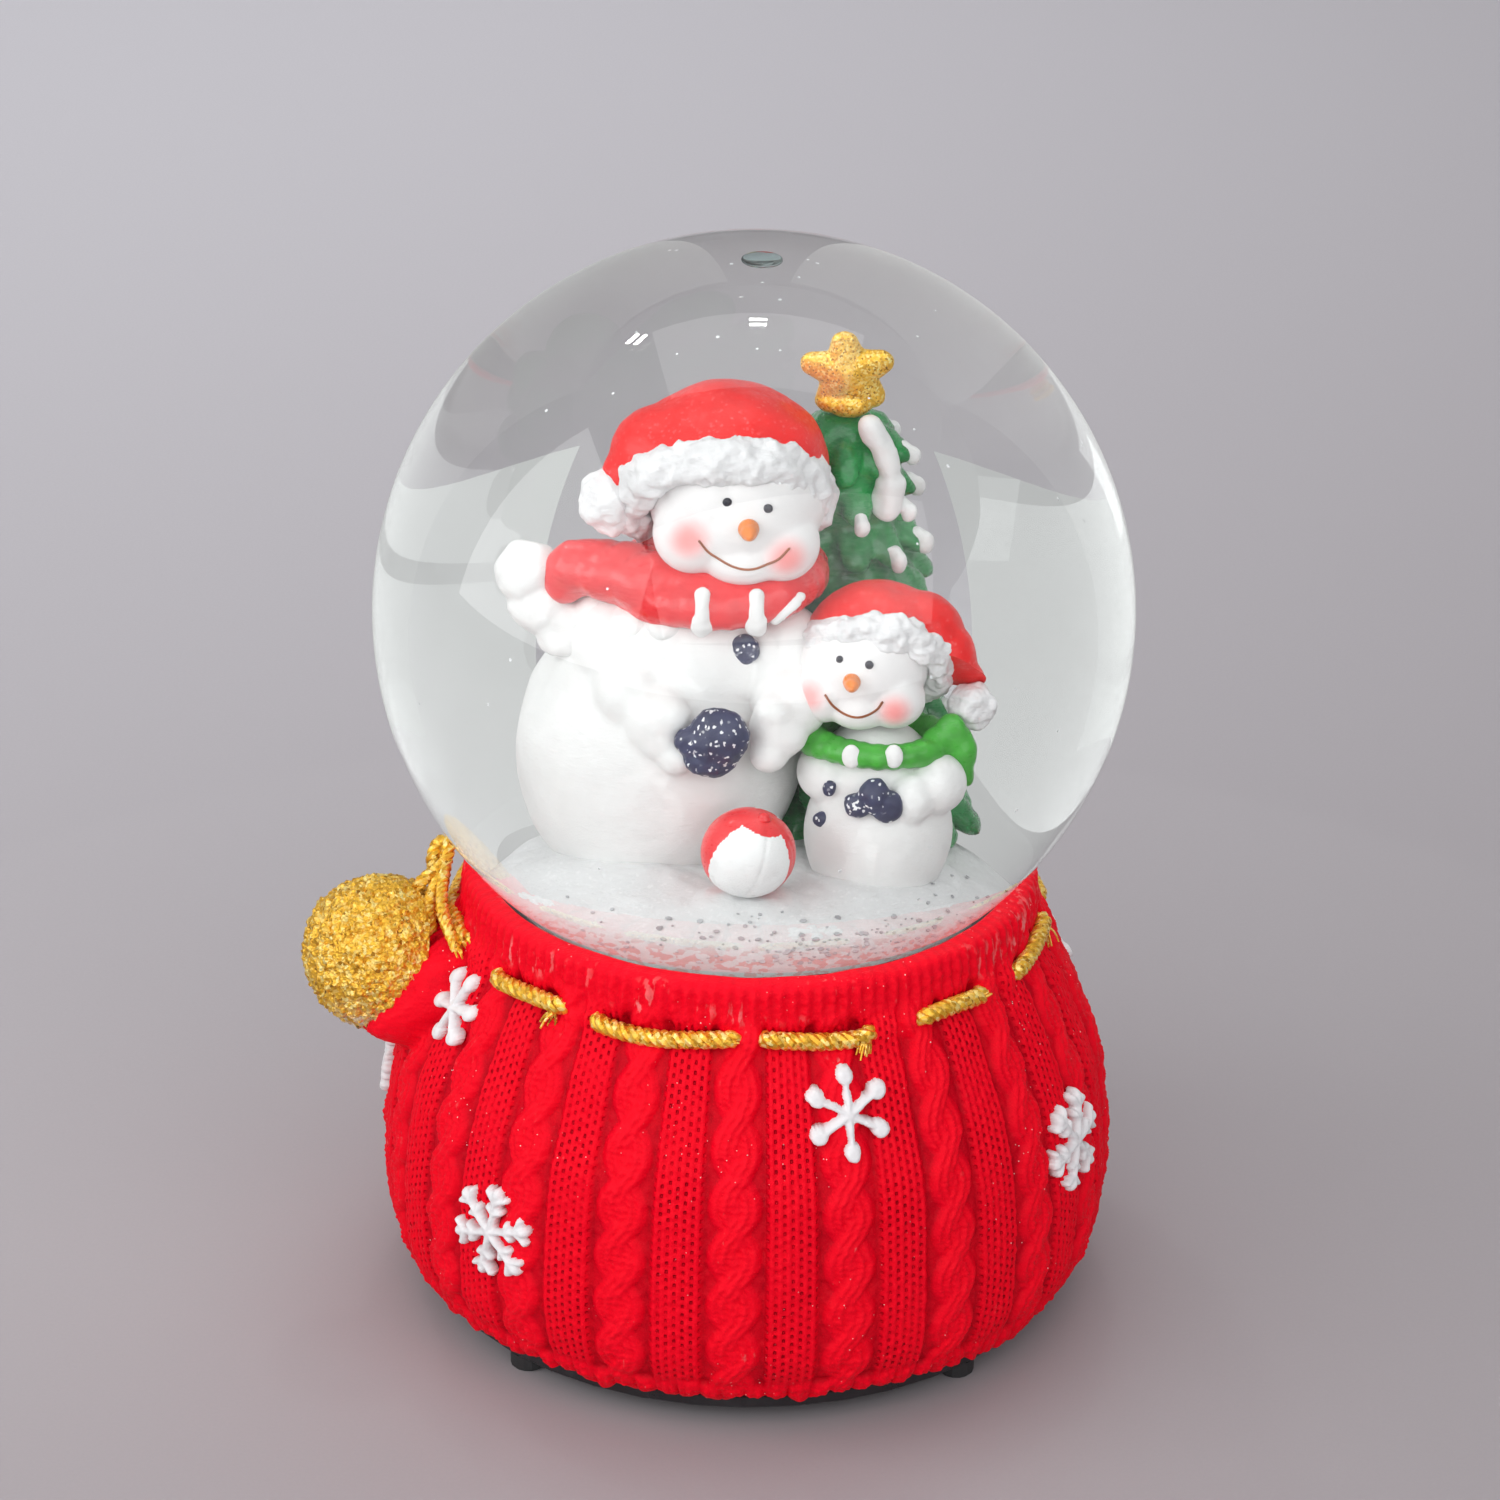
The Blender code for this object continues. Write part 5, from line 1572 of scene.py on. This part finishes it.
def loose_snow(ground, looks):
    """Glitter that lies on the mound, and a few chips that float."""
    rng = random.Random(5)
    lying, floating = [], []
    while len(lying) < 210:
        bearing = rng.gauss(-62, 34)
        radius = 28.2 - abs(rng.gauss(0, 3.4))
        x, y, _ = polar(radius, bearing, 0)
        hit, normal, _, _ = ground.ray_cast(spot(x, y, 90), Vector((0, 0, -1)))
        if hit is None:
            continue
        tilt = Vector((rng.uniform(-1, 1), rng.uniform(-1, 1), 0)) * 0.3
        centre = ((hit.x - AXIS_X) / MM, hit.y / MM, hit.z / MM + 0.15)
        size = rng.choice((0.16, 0.2, 0.24, 0.3, 0.45))
        lying.append(flake_chip(centre, normal + tilt, size, rng))
    for _ in range(46):
        aim = direction(rng.uniform(-180, 180), rng.uniform(-45, 85))
        centre = Vector((0, 0, GLOBE_Z)) + aim * rng.uniform(30, 46)
        floating.append(flake_chip(centre, aim, rng.uniform(0.14, 0.28), rng))
    piece("glitter_on_snow", bundle("glitter_on_snow", lying, 20), looks["glitter"])
    piece("glitter_afloat", bundle("glitter_afloat", floating, 20), looks["pale_glitter"])


def figure_looks():
    red = painted("hat_red", (0.85, 0.01, 0.009), 0.42, 0.86, glints=0.05, coat_weight=0.1)
    scarf = painted("scarf_red", (0.78, 0.022, 0.028), 0.3, 0.86, coat_weight=0.4)
    green = painted("scarf_green", (0.06, 0.44, 0.035), 0.34, 0.62, coat_weight=0.3)
    fir = painted("fir_paint", (0.014, 0.27, 0.06), 0.28, 0.5, coat_weight=0.4)
    navy = painted("navy_paint", (0.045, 0.05, 0.11), 0.4, 0.6, glints=0.8)
    white = painted("snow_paint", (0.8, 0.795, 0.79), 0.5, 0.95, grain=0.05)
    fur = painted("fur_paint", (0.8, 0.79, 0.8), 0.6, 0.84, grain=0.12)
    ink = painted("ink", (0.035, 0.035, 0.05), 0.35, 0.5, grain=0.02)
    carrot = painted("carrot", (0.86, 0.22, 0.012), 0.32, 0.72, grain=0.02, coat_weight=0.3)
    brown = painted("brown_line", (0.36, 0.11, 0.04), 0.5, 0.6, grain=0.01)
    snow = painted("snow_ground", (0.69, 0.69, 0.695), 0.6, 0.94, glints=0.2, grain=0.1)
    tone = snow.shader.inputs["Base Color"].links[0].from_socket
    # the snow is painted a darker grey towards its foot, below 68.6 mm, with reddish blotches there
    tone_mask = snow.levels(snow.place_z(), 68.6, 65.6)
    tone = snow.mix(snow.math("MULTIPLY", tone_mask, 0.8), tone, (0.47, 0.46, 0.465))
    flakes = snow.math("MULTIPLY", snow.levels(snow.noise(1.3, 5), 0.5, 0.54), tone_mask)
    snow.connect(snow.mix(snow.math("MULTIPLY", flakes, 0.7), tone, (0.52, 0.24, 0.22)), "Base Color")
    glitter = painted("silver_chips", (0.5, 0.5, 0.52), 0.3, 0.6, grain=0.01)
    pale = painted("pale_chips", (0.85, 0.86, 0.88), 0.3, 0.85, grain=0.01)
    return {
        "red": red, "red_gloss": scarf, "green": green, "fir": fir, "navy": navy, "white": white,
        "fur": fur, "ink": ink, "carrot": carrot, "brown": brown, "snow": snow, "glitter": glitter,
        "pale_glitter": pale,
    }


# Pieces that keep their CAD shape


def plastic_look(name, color, roughness):
    """Moulded plastic: a fine spark-eroded grain, with rubbed and dusty places."""
    look = Look(name, color, roughness, specular_ior_level=0.5)
    dust = look.levels(look.noise(2.5, 5), 0.52, 0.75, 0.0, 0.25)
    dusty = tuple(min(part * 2.5 + 0.03, 1) for part in color)
    look.connect(look.mix(dust, color, dusty), "Base Color")
    rubbed = look.levels(look.noise(4, 3), 0.3, 0.7, roughness - 0.12, roughness + 0.15)
    look.connect(rubbed, "Roughness")
    look.bump(look.noise(0.3, 2), 0.02)
    return look


def metal_look(name, color, roughness, brushed=(1, 1, 1), pitted=0.03):
    """Metal with machining lines, stains and a few pits."""
    look = Look(name, color, roughness, 1.0)
    stain = look.levels(look.noise(3, 4), 0.4, 0.75, 0.0, 0.5)
    look.connect(look.mix(stain, color, tuple(part * 0.6 for part in color)), "Base Color")
    lines = look.noise(0.25, 3, stretch=brushed)
    look.connect(look.levels(lines, 0.3, 0.7, roughness - 0.1, roughness + 0.15), "Roughness")
    first = look.bump(lines, 0.01)
    look.bump(look.noise(1.5, 4), pitted, first)
    return look


def dress_nodes():
    """Gives the nodes that keep their CAD shape their materials."""
    black = plastic_look("black_moulding", (0.014, 0.014, 0.016), 0.36)
    rubber = plastic_look("rubber", (0.02, 0.02, 0.021), 0.68)
    pale = plastic_look("pale_rubber", (0.7, 0.69, 0.68), 0.6)
    steel = metal_look("steel", (0.56, 0.56, 0.58), 0.28, (1, 1, 12))
    spring = metal_look("blued_spring", (0.2, 0.23, 0.32), 0.3, (1, 1, 8))
    brass = metal_look("brass", (0.78, 0.55, 0.22), 0.27, (1, 1, 14))
    key = metal_look("key_brass", (0.75, 0.56, 0.26), 0.3, (10, 1, 1), 0.05)
    zinc = metal_look("zinc_casting", (0.44, 0.45, 0.47), 0.42, pitted=0.08)
    clear = clear_look("clear_cover", 1.45, (0.93, 0.95, 0.96))
    dressed = {
        "base_plate": black, "rubber_stopper": pale, "globe_seal": rubber,
        "winding_arbor": steel, "winding_key": key, "movement_bedplate": zinc,
        "spring_barrel": brass, "mainspring": spring, "barrel_cap": brass,
        "music_cylinder": brass, "cylinder_pinion": brass, "cylinder_gear": brass,
        "steel_comb": steel, "governor_wheel": brass, "governor_fan": steel,
        "governor_bracket": steel, "movement_cover": clear,
    }
    for name in frame["nodes"]:
        if name.startswith("foot_"):
            dressed[name] = rubber
        if "_screw_" in name:
            dressed[name] = steel
    for name, look in dressed.items():
        mesh = frame["nodes"][name].data
        mesh.materials.clear()
        mesh.materials.append(look.material)


camera()
studio()
sack()
drawstring()
pompom()
snowflakes()
globe()
bubble()
paints = figure_looks()
ground_surface = mound(paints)
parent(paints)
child(paints)
beach_ball(paints)
fir_tree(paints)
tree_star()
loose_snow(ground_surface, paints)
dress_nodes()
